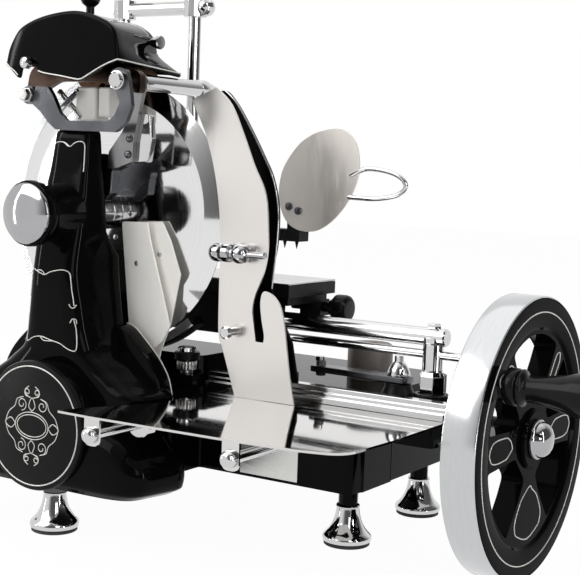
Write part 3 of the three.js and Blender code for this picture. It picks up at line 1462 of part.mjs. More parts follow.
function buildSharpener() {
  const outer = plateY(moved(bonnetOutline, 0, stoneZ), coverFront, coverBack);
  const inset = bonnetOutline.map(([x, z]) => [
    x * (1 - coverSkin / coverHalf),
    z > coverMouth.lip ? z - coverSkin : z - 6 * coverSkin,
  ]);
  const inner = plateY(moved(inset, 0, stoneZ), coverFront + coverSkin, coverBack + overrun);
  const under = block(
    [-coverMouth.half, coverFront + coverSkin, stoneZ + coverMouth.bottom],
    [coverMouth.half, coverBack + overrun, stoneZ + coverMouth.top],
  );
  mesh(slicer, "sharpener_cover", cut(outer, inner, under), "glossBlack");
  const knobBottom = stoneZ + coverCrest + restGap;
  const knob = turned("z", [topKnob.x, topKnob.y, knobBottom], [
    [0, 0],
    [topKnob.stem, 0],
    [topKnob.stem, topKnob.height * 0.26],
    [topKnob.radius * 0.8, topKnob.height * 0.35],
    [topKnob.radius, topKnob.height * 0.56],
    [topKnob.radius * 0.8, topKnob.height * 0.82],
    [topKnob.radius * 0.5, topKnob.height * 0.94],
    [0, topKnob.height],
  ]);
  mesh(slicer, "sharpener_knob", knob, "satinBlack");

  const frameBack = frameFront + frameThick;
  const frame = plateY(rounded(moved(frameOutline, 0, stoneZ), yokeCorner), frameFront, frameBack);
  const tieBore = rod("y", [tieRodX, 0, tieRodZ], tieRodRadius + restGap, 0, coverBack);
  const arms = [];
  const stones = stoneXs.map((x, i) => {
    const front = stoneFronts()[i];
    const armBack = front + stoneWidth + stoneArmRadius;
    arms.push(rod("y", [x, 0, stoneZ], stoneArmRadius, frameFront + restGap, armBack, smallSides));
    return tube("y", [x, 0, stoneZ], stoneArmRadius + restGap, stoneRadius, front, front + stoneWidth);
  });
  const neck = block(
    [topKnob.x - neckHalf, frameFront, stoneZ],
    [topKnob.x + neckHalf, frameBack, knobBottom - 2 * coverSkin],
  );
  mesh(slicer, "sharpener_frame", cut(join(frame, neck, ...arms), tieBore), "steel");
  mesh(slicer, "front_stone", stones[0], "stone");
  mesh(slicer, "rear_stone", stones[1], "stone");
  const headBack = yokeFront - restGap;
  const nutLength = tieRodEnd * 0.2;
  const tie = turned("y", [tieRodX, 0, tieRodZ], [
    [0, headBack - tieRodRadius],
    [tieRodRadius * 1.7, headBack - tieRodRadius],
    [tieRodRadius * 1.7, headBack],
    [tieRodRadius, headBack],
    [tieRodRadius, tieRodEnd - nutLength],
    [tieRodRadius * 1.5, tieRodEnd - nutLength],
    [tieRodRadius * 1.5, tieRodEnd - nutLength * 0.7],
    [tieRodRadius * 0.9, tieRodEnd - nutLength * 0.44],
    [tieRodRadius * 1.1, tieRodEnd - nutLength * 0.2],
    [0, tieRodEnd],
  ], smallSides);
  mesh(slicer, "tie_rod", tie, "chrome");
  const yoke = plateY(rounded(moved(yokeOutline, 0, stoneZ), yokeCorner), yokeFront, yokeFront + yokeThick);
  mesh(slicer, "yoke_plate", cut(yoke, tieBore), "steel");
}

buildFeet();
buildColumn();
buildBase();
buildDrive();
buildBlade();
buildFlywheel();
buildTray();
buildDeflector();
buildGauge();
buildThicknessKnob();
buildScraper();
buildRail();
buildGuide();
buildLever();
buildCarriage();
buildTable();
buildPress();
buildSharpener();

export default slicer;
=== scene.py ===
import json
import math

import bmesh
import bpy
from mathutils import Matrix, Vector
from mathutils.bvhtree import BVHTree


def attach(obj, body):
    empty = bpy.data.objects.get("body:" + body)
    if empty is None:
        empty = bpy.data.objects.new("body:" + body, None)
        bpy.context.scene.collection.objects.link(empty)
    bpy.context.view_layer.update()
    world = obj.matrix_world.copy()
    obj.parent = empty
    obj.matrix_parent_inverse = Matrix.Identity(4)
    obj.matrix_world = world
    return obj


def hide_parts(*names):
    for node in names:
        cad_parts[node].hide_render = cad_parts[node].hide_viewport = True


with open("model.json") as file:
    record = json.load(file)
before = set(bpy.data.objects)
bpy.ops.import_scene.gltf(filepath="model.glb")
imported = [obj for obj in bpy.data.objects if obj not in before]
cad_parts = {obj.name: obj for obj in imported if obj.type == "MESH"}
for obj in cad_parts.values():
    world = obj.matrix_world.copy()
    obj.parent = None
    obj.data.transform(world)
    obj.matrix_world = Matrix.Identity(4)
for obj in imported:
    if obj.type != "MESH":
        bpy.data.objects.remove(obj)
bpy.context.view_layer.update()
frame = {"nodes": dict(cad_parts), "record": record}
nodes = frame["nodes"]
bodies = frame["record"]["behaviour"]["bodies"]
bodyOf = {node: body for body, names in bodies.items() for node in names}
scene = bpy.context.scene
millimetre = 0.001
# points on the axes of the blade, the round cover and the tie rod
bladeAxis, coverAxis, tieAxis = (0, 0, 310), (0, 0, 108), (64, 0, 436)
print("frame loaded with", len(nodes), "nodes")

# materials: shared groups


def newGroup(name, inputs, mask):
    # floats and vectors in, a mask, a roughness and a normal out
    group = bpy.data.node_groups.new(name, "ShaderNodeTree")
    for label, value in inputs.items():
        kind = "NodeSocketFloat" if isinstance(value, float) else "NodeSocketVector"
        socket = group.interface.new_socket(label, in_out="INPUT", socket_type=kind)
        if value is not None:
            socket.default_value = value
    for label in (mask, "Roughness", "Normal"):
        kind = "NodeSocketVector" if label == "Normal" else "NodeSocketFloat"
        group.interface.new_socket(label, in_out="OUTPUT", socket_type=kind)
    return group, group.nodes.new("NodeGroupInput"), group.nodes.new("NodeGroupOutput")


def addNode(tree, kind, settings=None, **values):
    node = tree.nodes.new(kind)
    for label, value in (settings or {}).items():
        setattr(node, label, value)
    for label, value in values.items():
        name = label.replace("_", " ")
        socket = next(s for s in node.inputs if s.name == name and s.enabled)
        if isinstance(value, bpy.types.NodeSocket):
            tree.links.new(value, socket)
        else:
            socket.default_value = value
    return node


def combined(tree, kind, operation, *sources):
    # a math node fed by sockets or plain values, in order
    node = addNode(tree, kind, {"operation": operation})
    for source, socket in zip(sources, node.inputs):
        if isinstance(source, bpy.types.NodeSocket):
            tree.links.new(source, socket)
        else:
            socket.default_value = source
    return node


def putOut(group, end, mask, maskSocket, gloss, bump):
    for label, socket in ((mask, maskSocket), ("Roughness", gloss.outputs[0]), ("Normal", bump.outputs[0])):
        group.links.new(socket, end.inputs[label])
    return group


def makeGrainGroup():
    # cast or moulded surface: soft unevenness, fine grain and uneven gloss
    inputs = {
        "Vector": None, "Grain Scale": 900.0, "Grain Depth": 0.1, "Wave Scale": 30.0, "Wave Depth": 0.05,
        "Gloss Low": 0.1, "Gloss High": 0.2,
    }
    group, start, end = newGroup("surfaceGrain", inputs, "Mottle")
    given = start.outputs
    broad, fine = (
        addNode(group, "ShaderNodeTexNoise", Vector=given["Vector"], Scale=given[size], Detail=detail)
        for size, detail in (("Wave Scale", 3.0), ("Grain Scale", 4.0))
    )
    gloss = addNode(
        group, "ShaderNodeMapRange", Value=broad.outputs[0], From_Min=0.35, From_Max=0.65,
        To_Min=given["Gloss Low"], To_Max=given["Gloss High"],
    )
    wave = addNode(
        group, "ShaderNodeBump", Strength=given["Wave Depth"], Distance=0.002, Height=broad.outputs[0],
    )
    grain = addNode(
        group, "ShaderNodeBump", Strength=given["Grain Depth"], Distance=0.0004, Height=fine.outputs[0],
        Normal=wave.outputs[0],
    )
    return putOut(group, end, "Mottle", broad.outputs[0], gloss, grain)


def polished(group, given, end, mask, pattern, depth, markScale, markDetail):
    # gloss and a faint bump that follow a polishing pattern, broken by handling marks
    marks = addNode(group, "ShaderNodeTexNoise", Vector=given["Vector"], Scale=markScale, Detail=markDetail)
    both = combined(group, "ShaderNodeMath", "MULTIPLY", pattern, marks.outputs[0])
    gloss = addNode(
        group, "ShaderNodeMapRange", Value=both.outputs[0], From_Min=0.12, From_Max=0.4,
        To_Min=given["Gloss Low"], To_Max=given["Gloss High"],
    )
    bump = addNode(group, "ShaderNodeBump", Strength=given[depth], Distance=0.0003, Height=pattern)
    return putOut(group, end, mask, pattern, gloss, bump)


def makeLineGroup():
    # polishing lines along one direction
    inputs = {
        "Vector": None, "Stretch": (1.0, 1.0, 1.0), "Line Scale": 400.0, "Line Depth": 0.05,
        "Gloss Low": 0.05, "Gloss High": 0.12,
    }
    group, start, end = newGroup("polishLines", inputs, "Lines")
    given = start.outputs
    along = combined(group, "ShaderNodeVectorMath", "MULTIPLY", given["Vector"], given["Stretch"])
    lines = addNode(
        group, "ShaderNodeTexNoise", Vector=along.outputs[0], Scale=given["Line Scale"], Detail=2.0,
    )
    return polished(group, given, end, "Lines", lines.outputs[0], "Line Depth", 14.0, 5.0)


def makeTurnedGroup():
    # lathe or grinding rings round an axis
    inputs = {
        "Vector": None, "Centre": (0.0, 0.0, 0.0), "Across": (1.0, 1.0, 0.0), "Ring Scale": 900.0,
        "Ring Depth": 0.05, "Gloss Low": 0.05, "Gloss High": 0.12,
    }
    group, start, end = newGroup("turnedRings", inputs, "Rings")
    given = start.outputs
    offset = combined(group, "ShaderNodeVectorMath", "SUBTRACT", given["Vector"], given["Centre"])
    flat = combined(group, "ShaderNodeVectorMath", "MULTIPLY", offset.outputs[0], given["Across"])
    radius = combined(group, "ShaderNodeVectorMath", "LENGTH", flat.outputs[0])
    rings = addNode(
        group, "ShaderNodeTexNoise", {"noise_dimensions": "1D"}, W=radius.outputs["Value"],
        Scale=given["Ring Scale"], Detail=3.0,
    )
    return polished(group, given, end, "Rings", rings.outputs[0], "Ring Depth", 18.0, 4.0)


grainGroup, lineGroup, turnedGroup = makeGrainGroup(), makeLineGroup(), makeTurnedGroup()


def groupFinish(name, group, colours, gloss, values, metallic, sheen):
    # a principled shader driven by one of the shared groups
    material = bpy.data.materials.new(name)
    material.use_nodes = True
    tree = material.node_tree
    shader = tree.nodes["Principled BSDF"]
    shader.inputs["Metallic"].default_value = metallic
    if sheen is not None:
        shader.inputs["Specular IOR Level"].default_value = sheen
    place = tree.nodes.new("ShaderNodeTexCoord")
    node = tree.nodes.new("ShaderNodeGroup")
    node.node_tree = group
    tree.links.new(place.outputs["Object"], node.inputs["Vector"])
    for label, value in {**values, "Gloss Low": gloss[0], "Gloss High": gloss[1]}.items():
        node.inputs[label].default_value = value
    mix = tree.nodes.new("ShaderNodeMix")
    mix.data_type = "RGBA"
    tree.links.new(node.outputs[0], mix.inputs[0])
    for socket, colour in zip(mix.inputs[6:8], colours):
        socket.default_value = (*colour, 1.0)
    tree.links.new(mix.outputs[2], shader.inputs["Base Color"])
    for label in ("Roughness", "Normal"):
        tree.links.new(node.outputs[label], shader.inputs[label])
    return material


def grainFinish(name, colours, gloss, grain, wave, metallic=0.0, sheen=None):
    values = {"Grain Scale": grain[0], "Grain Depth": grain[1], "Wave Scale": wave[0], "Wave Depth": wave[1]}
    return groupFinish(name, grainGroup, colours, gloss, values, metallic, sheen)


def lineFinish(name, colours, gloss, stretch, lines, metallic=1.0):
    values = {"Stretch": stretch, "Line Scale": lines[0], "Line Depth": lines[1]}
    return groupFinish(name, lineGroup, colours, gloss, values, metallic, None)


def bladeRings(name, colours, gloss, rings):
    # turned rings round the blade's axis
    values = {
        "Centre": [value * millimetre for value in bladeAxis], "Across": (1.0, 0.0, 1.0),
        "Ring Scale": rings[0], "Ring Depth": rings[1],
    }
    return groupFinish(name, turnedGroup, colours, gloss, values, 1.0, None)


def grey(low, high):
    return [(low,) * 3, (high,) * 3]


glossPaint = grainFinish(
    "glossBlackPaint", grey(0.0012, 0.0026), (0.04, 0.09), (700.0, 0.02), (26.0, 0.05),
    sheen=0.055,
)
wheelPaint = grainFinish(
    "wheelBlackPaint", grey(0.0012, 0.0026), (0.05, 0.1), (700.0, 0.02), (26.0, 0.05),
    sheen=0.012,
)
satinPaint = grainFinish(
    "satinBlackPaint", grey(0.003, 0.007), (0.26, 0.38), (1600.0, 0.12), (40.0, 0.04),
    sheen=0.11,
)
gripFinish = grainFinish(
    "blackTurnedGrip", grey(0.003, 0.006), (0.12, 0.2), (900.0, 0.04), (60.0, 0.05), sheen=0.14,
)
chrome = grainFinish(
    "brightChrome", grey(0.56, 0.66), (0.05, 0.1), (1200.0, 0.01), (22.0, 0.03), metallic=1.0,
)
# a darker copy of the bright chrome, painted shade; the badge dome, the wheel's hub cap and the deflector
# clamp take it
shadedChrome = grainFinish(
    "shadedChrome", [(0.36, 0.36, 0.37), (0.46, 0.46, 0.47)], (0.05, 0.1), (1200.0, 0.01),
    (22.0, 0.03), metallic=1.0,
)
tyreChrome = lineFinish(
    "tyreChrome", [(0.52, 0.53, 0.54), (0.58, 0.59, 0.6)], (0.14, 0.19), (8.0, 1.0, 1.0),
    (70.0, 0.02),
)
trayFinish = lineFinish(
    "trayMirror", [(0.62, 0.61, 0.6), (0.7, 0.69, 0.68)], (0.03, 0.08), (0.08, 1.0, 1.0),
    (240.0, 0.02),
)
guardFinish = lineFinish(
    "guardPlate", [(0.78, 0.735, 0.69), (0.84, 0.8, 0.76)], (0.4, 0.55), (1.0, 1.0, 0.1),
    (300.0, 0.05),
)
bladeFinish = bladeRings("bladeMirror", grey(0.7, 0.78), (0.04, 0.1), (500.0, 0.03))
steel = lineFinish(
    "brushedSteel", [(0.44, 0.43, 0.42), (0.52, 0.51, 0.5)], (0.22, 0.34), (1.0, 1.0, 0.3),
    (420.0, 0.03),
)
darkSteel = grainFinish(
    "darkSteel", [(0.085, 0.087, 0.095), (0.13, 0.132, 0.142)], (0.2, 0.32), (900.0, 0.04),
    (30.0, 0.015), metallic=1.0,
)
greySteel = grainFinish(
    "greyPolishedSteel", [(0.2, 0.2, 0.205), (0.27, 0.27, 0.275)], (0.16, 0.26), (900.0, 0.03),
    (30.0, 0.015), metallic=1.0,
)
# dark steel with a brown tint, for the sharpener frame
brownSteel = grainFinish(
    "brownTintedSteel", [(0.034, 0.023, 0.018), (0.085, 0.056, 0.043)], (0.25, 0.4), (900.0, 0.06),
    (34.0, 0.03), metallic=1.0,
)
paleSteel = lineFinish(
    "paleGroundSteel", [(0.82, 0.8, 0.76), (0.88, 0.86, 0.82)], (0.3, 0.42), (1.0, 1.0, 0.3),
    (160.0, 0.02), metallic=0.12,
)
barChrome = lineFinish("barChrome", grey(0.56, 0.74), (0.1, 0.2), (0.05, 1.0, 1.0), (220.0, 0.03))
deflectorFinish = lineFinish(
    "deflectorPlate", [(0.72, 0.695, 0.67), (0.74, 0.715, 0.69)], (0.25, 0.27),
    (1.0, 1.0, 0.08), (260.0, 0.004),
)
aluminium = bladeRings(
    "turnedAluminium", [(0.4, 0.41, 0.42), (0.5, 0.51, 0.52)], (0.14, 0.26), (420.0, 0.03),
)
tableFinish = lineFinish(
    "tableTop", grey(0.5, 0.64), (0.16, 0.3), (0.1, 1.0, 1.0), (420.0, 0.06),
)
bronze = grainFinish(
    "bronze", [(0.42, 0.27, 0.11), (0.55, 0.36, 0.16)], (0.25, 0.4), (900.0, 0.1), (60.0, 0.05),
    metallic=1.0,
)
stoneFinish = grainFinish(
    "grindingStone", [(0.16, 0.085, 0.045), (0.3, 0.17, 0.1)], (0.85, 0.95), (1400.0, 0.9),
    (90.0, 0.2),
)
rubber = grainFinish("rubber", grey(0.012, 0.03), (0.65, 0.8), (1500.0, 0.3), (60.0, 0.1))
castGrey = grainFinish(
    "greyCasting", [(0.13, 0.115, 0.105), (0.24, 0.21, 0.19)], (0.36, 0.55), (500.0, 0.35),
    (40.0, 0.2), metallic=0.6,
)
stripePaint = grainFinish(
    "silverStripe", [(0.52, 0.51, 0.48), (0.66, 0.65, 0.62)], (0.3, 0.42), (1500.0, 0.1),
    (80.0, 0.05), metallic=0.4,
)
plateFinish = lineFinish(
    "barePlate", [(0.6, 0.6, 0.58), (0.7, 0.7, 0.68)], (0.25, 0.4), (0.1, 1.0, 1.0), (500.0, 0.05),
)

# shaping helpers, in millimetres

layAlong = {  # sheet or lathe coordinates to x, y, z, with the thickness or the lathe axis last
    "x": Matrix(((0, 0, 1), (1, 0, 0), (0, 1, 0))),
    "y": Matrix(((1, 0, 0), (0, 0, 1), (0, 1, 0))),
    "z": Matrix(((1, 0, 0), (0, 1, 0), (0, 0, 1))),
}


def place(bm, axis="z", centre=(0, 0, 0)):
    turn = layAlong[axis].to_4x4()
    bmesh.ops.transform(bm, matrix=Matrix.Translation(centre) @ turn, verts=bm.verts)
    return bm


def lathe(profile, axis="z", centre=(0, 0, 0), steps=64, sweep=360.0, start=0.0):
    # profile rows hold a radius and a distance along the axis
    bm = bmesh.new()
    spots = [bm.verts.new((radius, 0, along)) for radius, along in profile]
    edges = [bm.edges.new(pair) for pair in zip(spots, spots[1:])]
    if sweep < 360.0:
        edges.append(bm.edges.new((spots[-1], spots[0])))
    bmesh.ops.rotate(bm, verts=spots, cent=(0, 0, 0), matrix=Matrix.Rotation(math.radians(start), 3, "Z"))
    bmesh.ops.spin(
        bm, geom=spots + edges, cent=(0, 0, 0), axis=(0, 0, 1), dvec=(0, 0, 0), angle=math.radians(sweep),
        steps=steps, use_merge=sweep == 360.0, use_duplicate=False,
    )
    bmesh.ops.remove_doubles(bm, verts=bm.verts, dist=0.002)
    if sweep < 360.0:
        bmesh.ops.holes_fill(bm, edges=[e for e in bm.edges if e.is_boundary], sides=0)
    return place(bm, axis, centre)


def sheet(outline, low, high, axis, holes=()):
    # a flat plate, with holes if they are given
    bm = bmesh.new()
    edges = []
    for loop in (outline, *holes):
        spots = [bm.verts.new((u, v, low)) for u, v in loop]
        edges += [bm.edges.new((spots[i - 1], spots[i])) for i in range(len(spots))]
    if holes:
        bmesh.ops.triangle_fill(bm, use_beauty=True, use_dissolve=False, edges=edges)
    else:
        bmesh.ops.contextual_create(bm, geom=edges)
    grown = bmesh.ops.extrude_face_region(bm, geom=bm.faces[:])
    lifted = [v for v in grown["geom"] if isinstance(v, bmesh.types.BMVert)]
    bmesh.ops.translate(bm, vec=(0, 0, high - low), verts=lifted)
    return place(bm, axis)


def bar(low, high):
    bm = bmesh.new()
    bmesh.ops.create_cube(bm, size=1.0)
    size = Vector(high) - Vector(low)
    bmesh.ops.scale(bm, vec=size, verts=bm.verts)
    bmesh.ops.translate(bm, vec=(Vector(low) + Vector(high)) / 2, verts=bm.verts)
    return bm


def added(*parts):
    whole = bmesh.new()
    for part in parts:
        loose = bpy.data.meshes.new("part")
        bmesh.ops.recalc_face_normals(part, faces=part.faces)
        part.to_mesh(loose)
        part.free()
        whole.from_mesh(loose)
        bpy.data.meshes.remove(loose)
    return whole


def arc(radius, start, end, steps, centre=(0, 0)):
    return [
        (centre[0] + radius * math.cos(math.radians(start + (end - start) * i / steps)),
         centre[1] + radius * math.sin(math.radians(start + (end - start) * i / steps)))
        for i in range(steps + 1)
    ]


def circle(radius, steps, centre=(0, 0)):
    return arc(radius, 0, 360, steps, centre)[:-1]


def filleted(points, radius, steps=6):
    # a corner may carry its own radius as a third number
    out = []
    count = len(points)
    for i, point in enumerate(points):
        here = Vector(point[:2])
        before = Vector(points[i - 1][:2]) - here
        after = Vector(points[(i + 1) % count][:2]) - here
        own = point[2] if len(point) > 2 else radius
        angle = before.angle(after)
        reach = min(own / max(math.tan(angle / 2), 0.001), 0.48 * before.length, 0.48 * after.length)
        first, last = here + before.normalized() * reach, here + after.normalized() * reach
        if reach < 0.05:
            out.append(tuple(here))
            continue
        for k in range(steps + 1):
            t = k / steps
            spot = first * (1 - t) ** 2 + here * 2 * t * (1 - t) + last * t * t
            out.append(tuple(spot))
    return out


def flowing(points, steps=6, closed=True):
    # a smooth line through the points
    out = []
    count = len(points)
    last = count if closed else count - 1
    for i in range(last):
        pick = [
            points[(i + k) % count] if closed else points[min(max(i + k, 0), count - 1)]
            for k in (-1, 0, 1, 2)
        ]
        a, b, c, d = (Vector(p) for p in pick)
        for k in range(steps):
            t = k / steps
            spot = 2 * b + (c - a) * t + (2 * a - 5 * b + 4 * c - d) * t * t
            spot = 0.5 * (spot + (3 * b - a - 3 * c + d) * t ** 3)
            out.append(tuple(spot))
    if not closed:
        out.append(tuple(points[-1]))
    return out


def camel(node):
    first, *rest = node.split("_")
    return first + "".join(word.capitalize() for word in rest)


def pieceObject(mesh, name, owner, finish, replaced=()):
    body = bodyOf.get(owner, "frame")
    piece = bpy.data.objects.new(name, mesh)
    scene.collection.objects.link(piece)
    mesh.materials.clear()
    mesh.materials.append(finish)
    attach(piece, body)
    if replaced:
        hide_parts(*replaced)
    return piece


def finished(bm, owner, finish, bevel=0.0, segments=3, angle=32.0, name=None, trim=None):
    # stands for its owner, a CAD node, or is trim in that node's body under a name of its own
    name = trim or name or camel(owner)
    bmesh.ops.remove_doubles(bm, verts=bm.verts, dist=0.001)
    bmesh.ops.recalc_face_normals(bm, faces=bm.faces)
    bmesh.ops.scale(bm, vec=(millimetre,) * 3, verts=bm.verts)
    mesh = bpy.data.meshes.new(name)
    bm.to_mesh(mesh)
    bm.free()
    piece = pieceObject(mesh, name, owner, finish, () if trim else (owner,))
    mesh.shade_smooth()
    if bevel:
        edge = piece.modifiers.new("softEdge", "BEVEL")
        edge.width = bevel * millimetre
        edge.segments = segments
        edge.limit_method = "ANGLE"
        edge.angle_limit = math.radians(angle)
        edge.use_clamp_overlap = True
        flat = piece.modifiers.new("evenNormals", "WEIGHTED_NORMAL")
        flat.keep_sharp = True
    else:
        mesh.set_sharp_from_angle(angle=math.radians(angle))
    return piece


def lathed(profile, axis, centre, steps, owner, finish, **settings):
    return finished(lathe(profile, axis, centre, steps), owner, finish, **settings)


def refined(node, finish, bevel, angle=25.0):
    # the CAD solid again, with its loose triangles joined and its edges softened
    bm = bmesh.new()
    bm.from_mesh(nodes[node].data)
    bmesh.ops.scale(bm, vec=(1 / millimetre,) * 3, verts=bm.verts)
    bmesh.ops.remove_doubles(bm, verts=bm.verts, dist=0.01)
    bmesh.ops.dissolve_limit(bm, angle_limit=math.radians(0.6), verts=bm.verts, edges=bm.edges)
    return finished(bm, node, finish, bevel, 2, angle)


def wire(lines, radius, name, owner, finish=stripePaint, closed=False, sides=1):
    # thin round lines, each through its own points in millimetres
    curve = bpy.data.curves.new(name, "CURVE")
    curve.dimensions = "3D"
    curve.bevel_depth = radius * millimetre
    curve.bevel_resolution = sides
    curve.use_fill_caps = True
    for points in lines:
        spline = curve.splines.new("POLY")
        spline.points.add(len(points) - 1)
        for spot, point in zip(spline.points, points):
            spot.co = (*(Vector(point) * millimetre), 1.0)
        spline.use_cyclic_u = closed
    holder = bpy.data.objects.new(name + "Line", curve)
    scene.collection.objects.link(holder)
    mesh = bpy.data.meshes.new_from_object(holder.evaluated_get(bpy.context.evaluated_depsgraph_get()))
    bpy.data.objects.remove(holder)
    bpy.data.curves.remove(curve)
    mesh.name = name
    mesh.shade_smooth()
    return pieceObject(mesh, name, owner, finish)


def screwHeads(name, owner, finish, spots, radius, height):
    # small domed heads that face the front
    shares = ((0, 1), (0.55, 1), (0.9, 0.7), (1, 0.35), (1, 0), (0, 0))
    profile = [(radius * across, -height * along) for across, along in shares]
    for i, spot in enumerate(spots):
        lathed(profile, "y", spot, 24, owner, finish, bevel=radius * 0.06, segments=2, trim=f"{name}{i}")


# feet

feet = {
    "places": {
        "front_left": (0, 0), "front_right": (248, 143), "back_right": (250, 289), "back_left": (-92, 270),
    },
    "bell": [
        (0, 3.4), (21.5, 3.4), (23.4, 4.2), (24, 6), (24, 8.2), (23.2, 10), (20.5, 12.6), (17.6, 16),
        (15.2, 20), (13.4, 24.5), (12.1, 29.5), (11.3, 34), (11, 36.4), (11.6, 37), (11.8, 38), (11.2, 39),
        (0, 39),
    ],
    "pad": [(0, 0), (21.6, 0), (22.4, 0.6), (22.4, 3.3), (0, 3.3)],
}
for corner, (x, y) in feet["places"].items():
    node = corner + "_foot"
    lathed(feet["bell"], "z", (x, y, 0), 72, node, chrome, name=corner + "Bell")
    lathed(feet["pad"], "z", (x, y, 0), 48, "frame", rubber, trim=corner + "Pad")
print("feet made")

# column

# each section holds a height, the front face, and half the width at the front and at the rear
column = {
    "rear": (50, 31), "thinFrom": (268, 292), "squareness": 0.36, "points": 96, "between": 4,
    "sections": [
        (48, -22, 104, 118), (56, -28, 116, 132), (80, -28, 116, 132), (100, -26, 96, 110),
        (112, -18, 80, 92), (126, -12, 86, 105), (140, -11, 97, 116), (151, -11, 78, 101), (165, -11, 57, 82),
        (182, -11, 39, 55), (220, -13, 31, 46), (257, -14, 26, 41), (305, -5, 25, 37), (331, 2, 24, 33),
        (360, 8, 22, 28), (386, 12, 20, 25), (391, 15, 17, 21),
    ],
    "drum": [(0, -28), (56.5, -28), (59, -26.8), (60, -24), (60, 48), (0, 48)],
    "boss": [
        (0, -45), (29.4, -45), (30.6, -44.2), (31, -42.6), (31, -37.5), (29.6, -34.5), (27, -28), (28.4, 5),
        (0, 5),
    ],
    "flange": [(103, 137), (98.5, 154), (91, 166.6), (82, 177), (70, 188), (55, 200.5), (45, 203.5)],
    "flangeY": (31, 49.4), "flangeLow": 118, "flangeHalf": 100, "flangeEdge": 1.2,
    "seatSpot": (123, 0, 126), "seatArm": ((70, -12, 119.7), (123, 48, 132.3)), "steepness": 0.8,
    "seat": [(0, -14), (8.2, -14), (9, -13), (9, 50), (0, 50)],
}


def columnRing(z, front, frontHalf, rearHalf):
    ring = []
    low, high = column["thinFrom"]
    thin = min(max((z - low) / (high - low), 0), 1)
    rear = column["rear"][0] + (column["rear"][1] - column["rear"][0]) * thin * thin * (3 - 2 * thin)
    for i in range(column["points"]):
        turn = 2 * math.pi * i / column["points"]
        u = math.copysign(abs(math.cos(turn)) ** column["squareness"], math.cos(turn))
        v = math.copysign(abs(math.sin(turn)) ** column["squareness"], math.sin(turn))
        share = (v + 1) / 2
        half = frontHalf + (rearHalf - frontHalf) * share
        ring.append(Vector((half * u, front + (rear - front) * share, z)))
    return ring


def columnTower():
    levels = []
    rows = column["sections"]
    for i in range(len(rows) - 1):
        pick = [rows[min(max(i + k, 0), len(rows) - 1)] for k in (-1, 0, 1, 2)]
        for k in range(column["between"]):
            t = k / column["between"]
            a, b, c, d = pick
            row = [b[0] + (c[0] - b[0]) * t]
            for n in (1, 2, 3):
                reach = (c[0] - b[0]) * column["steepness"]
                slopeIn = (c[n] - a[n]) / max(c[0] - a[0], 1) * reach
                slopeOut = (d[n] - b[n]) / max(d[0] - b[0], 1) * reach
                row.append(
                    b[n] * (2 * t ** 3 - 3 * t * t + 1) + slopeIn * (t ** 3 - 2 * t * t + t)
                    + c[n] * (3 * t * t - 2 * t ** 3) + slopeOut * (t ** 3 - t * t)
                )
            levels.append(row)
    levels.append(list(rows[-1]))
    bm = bmesh.new()
    made = bmesh.ops.create_circle(bm, cap_ends=False, segments=column["points"], radius=1.0)
    edges = list(dict.fromkeys(edge for vert in made["verts"] for edge in vert.link_edges))
    ordered = sorted(made["verts"], key=lambda v: math.atan2(v.co.y, v.co.x) % (2 * math.pi))
    for vert, spot in zip(ordered, columnRing(*levels[0])):
        vert.co = spot
    bmesh.ops.contextual_create(bm, geom=edges)
    rank = {vert: i for i, vert in enumerate(ordered)}
    for row in levels[1:]:
        grown = bmesh.ops.extrude_edge_only(bm, edges=edges)["geom"]
        edges = [e for e in grown if isinstance(e, bmesh.types.BMEdge)]
        raised = [v for v in grown if isinstance(v, bmesh.types.BMVert)]
        ring = columnRing(*row)
        fresh = {}
        for vert in raised:
            below = next(e.other_vert(vert) for e in vert.link_edges if e.other_vert(vert) in rank)
            fresh[vert] = rank[below]
        for vert, i in fresh.items():
            vert.co = ring[i]
        rank = fresh
    bmesh.ops.contextual_create(bm, geom=edges)
    return bm


def united(parts, name):
    # one skin round several overlapping solids
    holders = []
    for i, part in enumerate(parts):
        bmesh.ops.recalc_face_normals(part, faces=part.faces)
        loose = bpy.data.meshes.new(f"{name}Part{i}")
        part.to_mesh(loose)
        part.free()
        holder = bpy.data.objects.new(loose.name, loose)
        scene.collection.objects.link(holder)
        holders.append(holder)
    base = holders[0]
    for other in holders[1:]:
        union = base.modifiers.new("union", "BOOLEAN")
        union.operation, union.solver, union.object = "UNION", "EXACT", other
    graph = bpy.context.evaluated_depsgraph_get()
    whole = bmesh.new()
    joined = bpy.data.meshes.new_from_object(base.evaluated_get(graph))
    whole.from_mesh(joined)
    bpy.data.meshes.remove(joined)
    for holder in holders:
        loose = holder.data
        bpy.data.objects.remove(holder)
        bpy.data.meshes.remove(loose)
    return whole


flangeSide = flowing(column["flange"], 4, False)
flangeFoot = (column["flangeHalf"], column["flangeLow"])
flangeHalf = [flangeFoot] + flangeSide
flangePlan = flangeHalf + [(-x, z) for x, z in flangeHalf[::-1]]
flange = sheet(flangePlan, *column["flangeY"], "y")
flangeRims = [edge for edge in flange.edges if abs(edge.verts[0].co.y - edge.verts[1].co.y) < 1]
bmesh.ops.bevel(
    flange, geom=flangeRims, offset=column["flangeEdge"], offset_type="OFFSET", segments=3, profile=0.5,
    affect="EDGES", clamp_overlap=True, material=-1,
)
columnParts = [
    columnTower(),
    flange,
    lathe(column["drum"], "y", coverAxis, 120),
    lathe(column["boss"], "y", bladeAxis, 96),
    lathe(column["seat"], "y", column["seatSpot"], 32),
    bar(*column["seatArm"]),
]
casting = finished(united(columnParts, "column"), "column_casting", glossPaint, angle=30.0)
castingTree = BVHTree.FromPolygons(
    [v.co for v in casting.data.vertices], [p.vertices for p in casting.data.polygons],
)
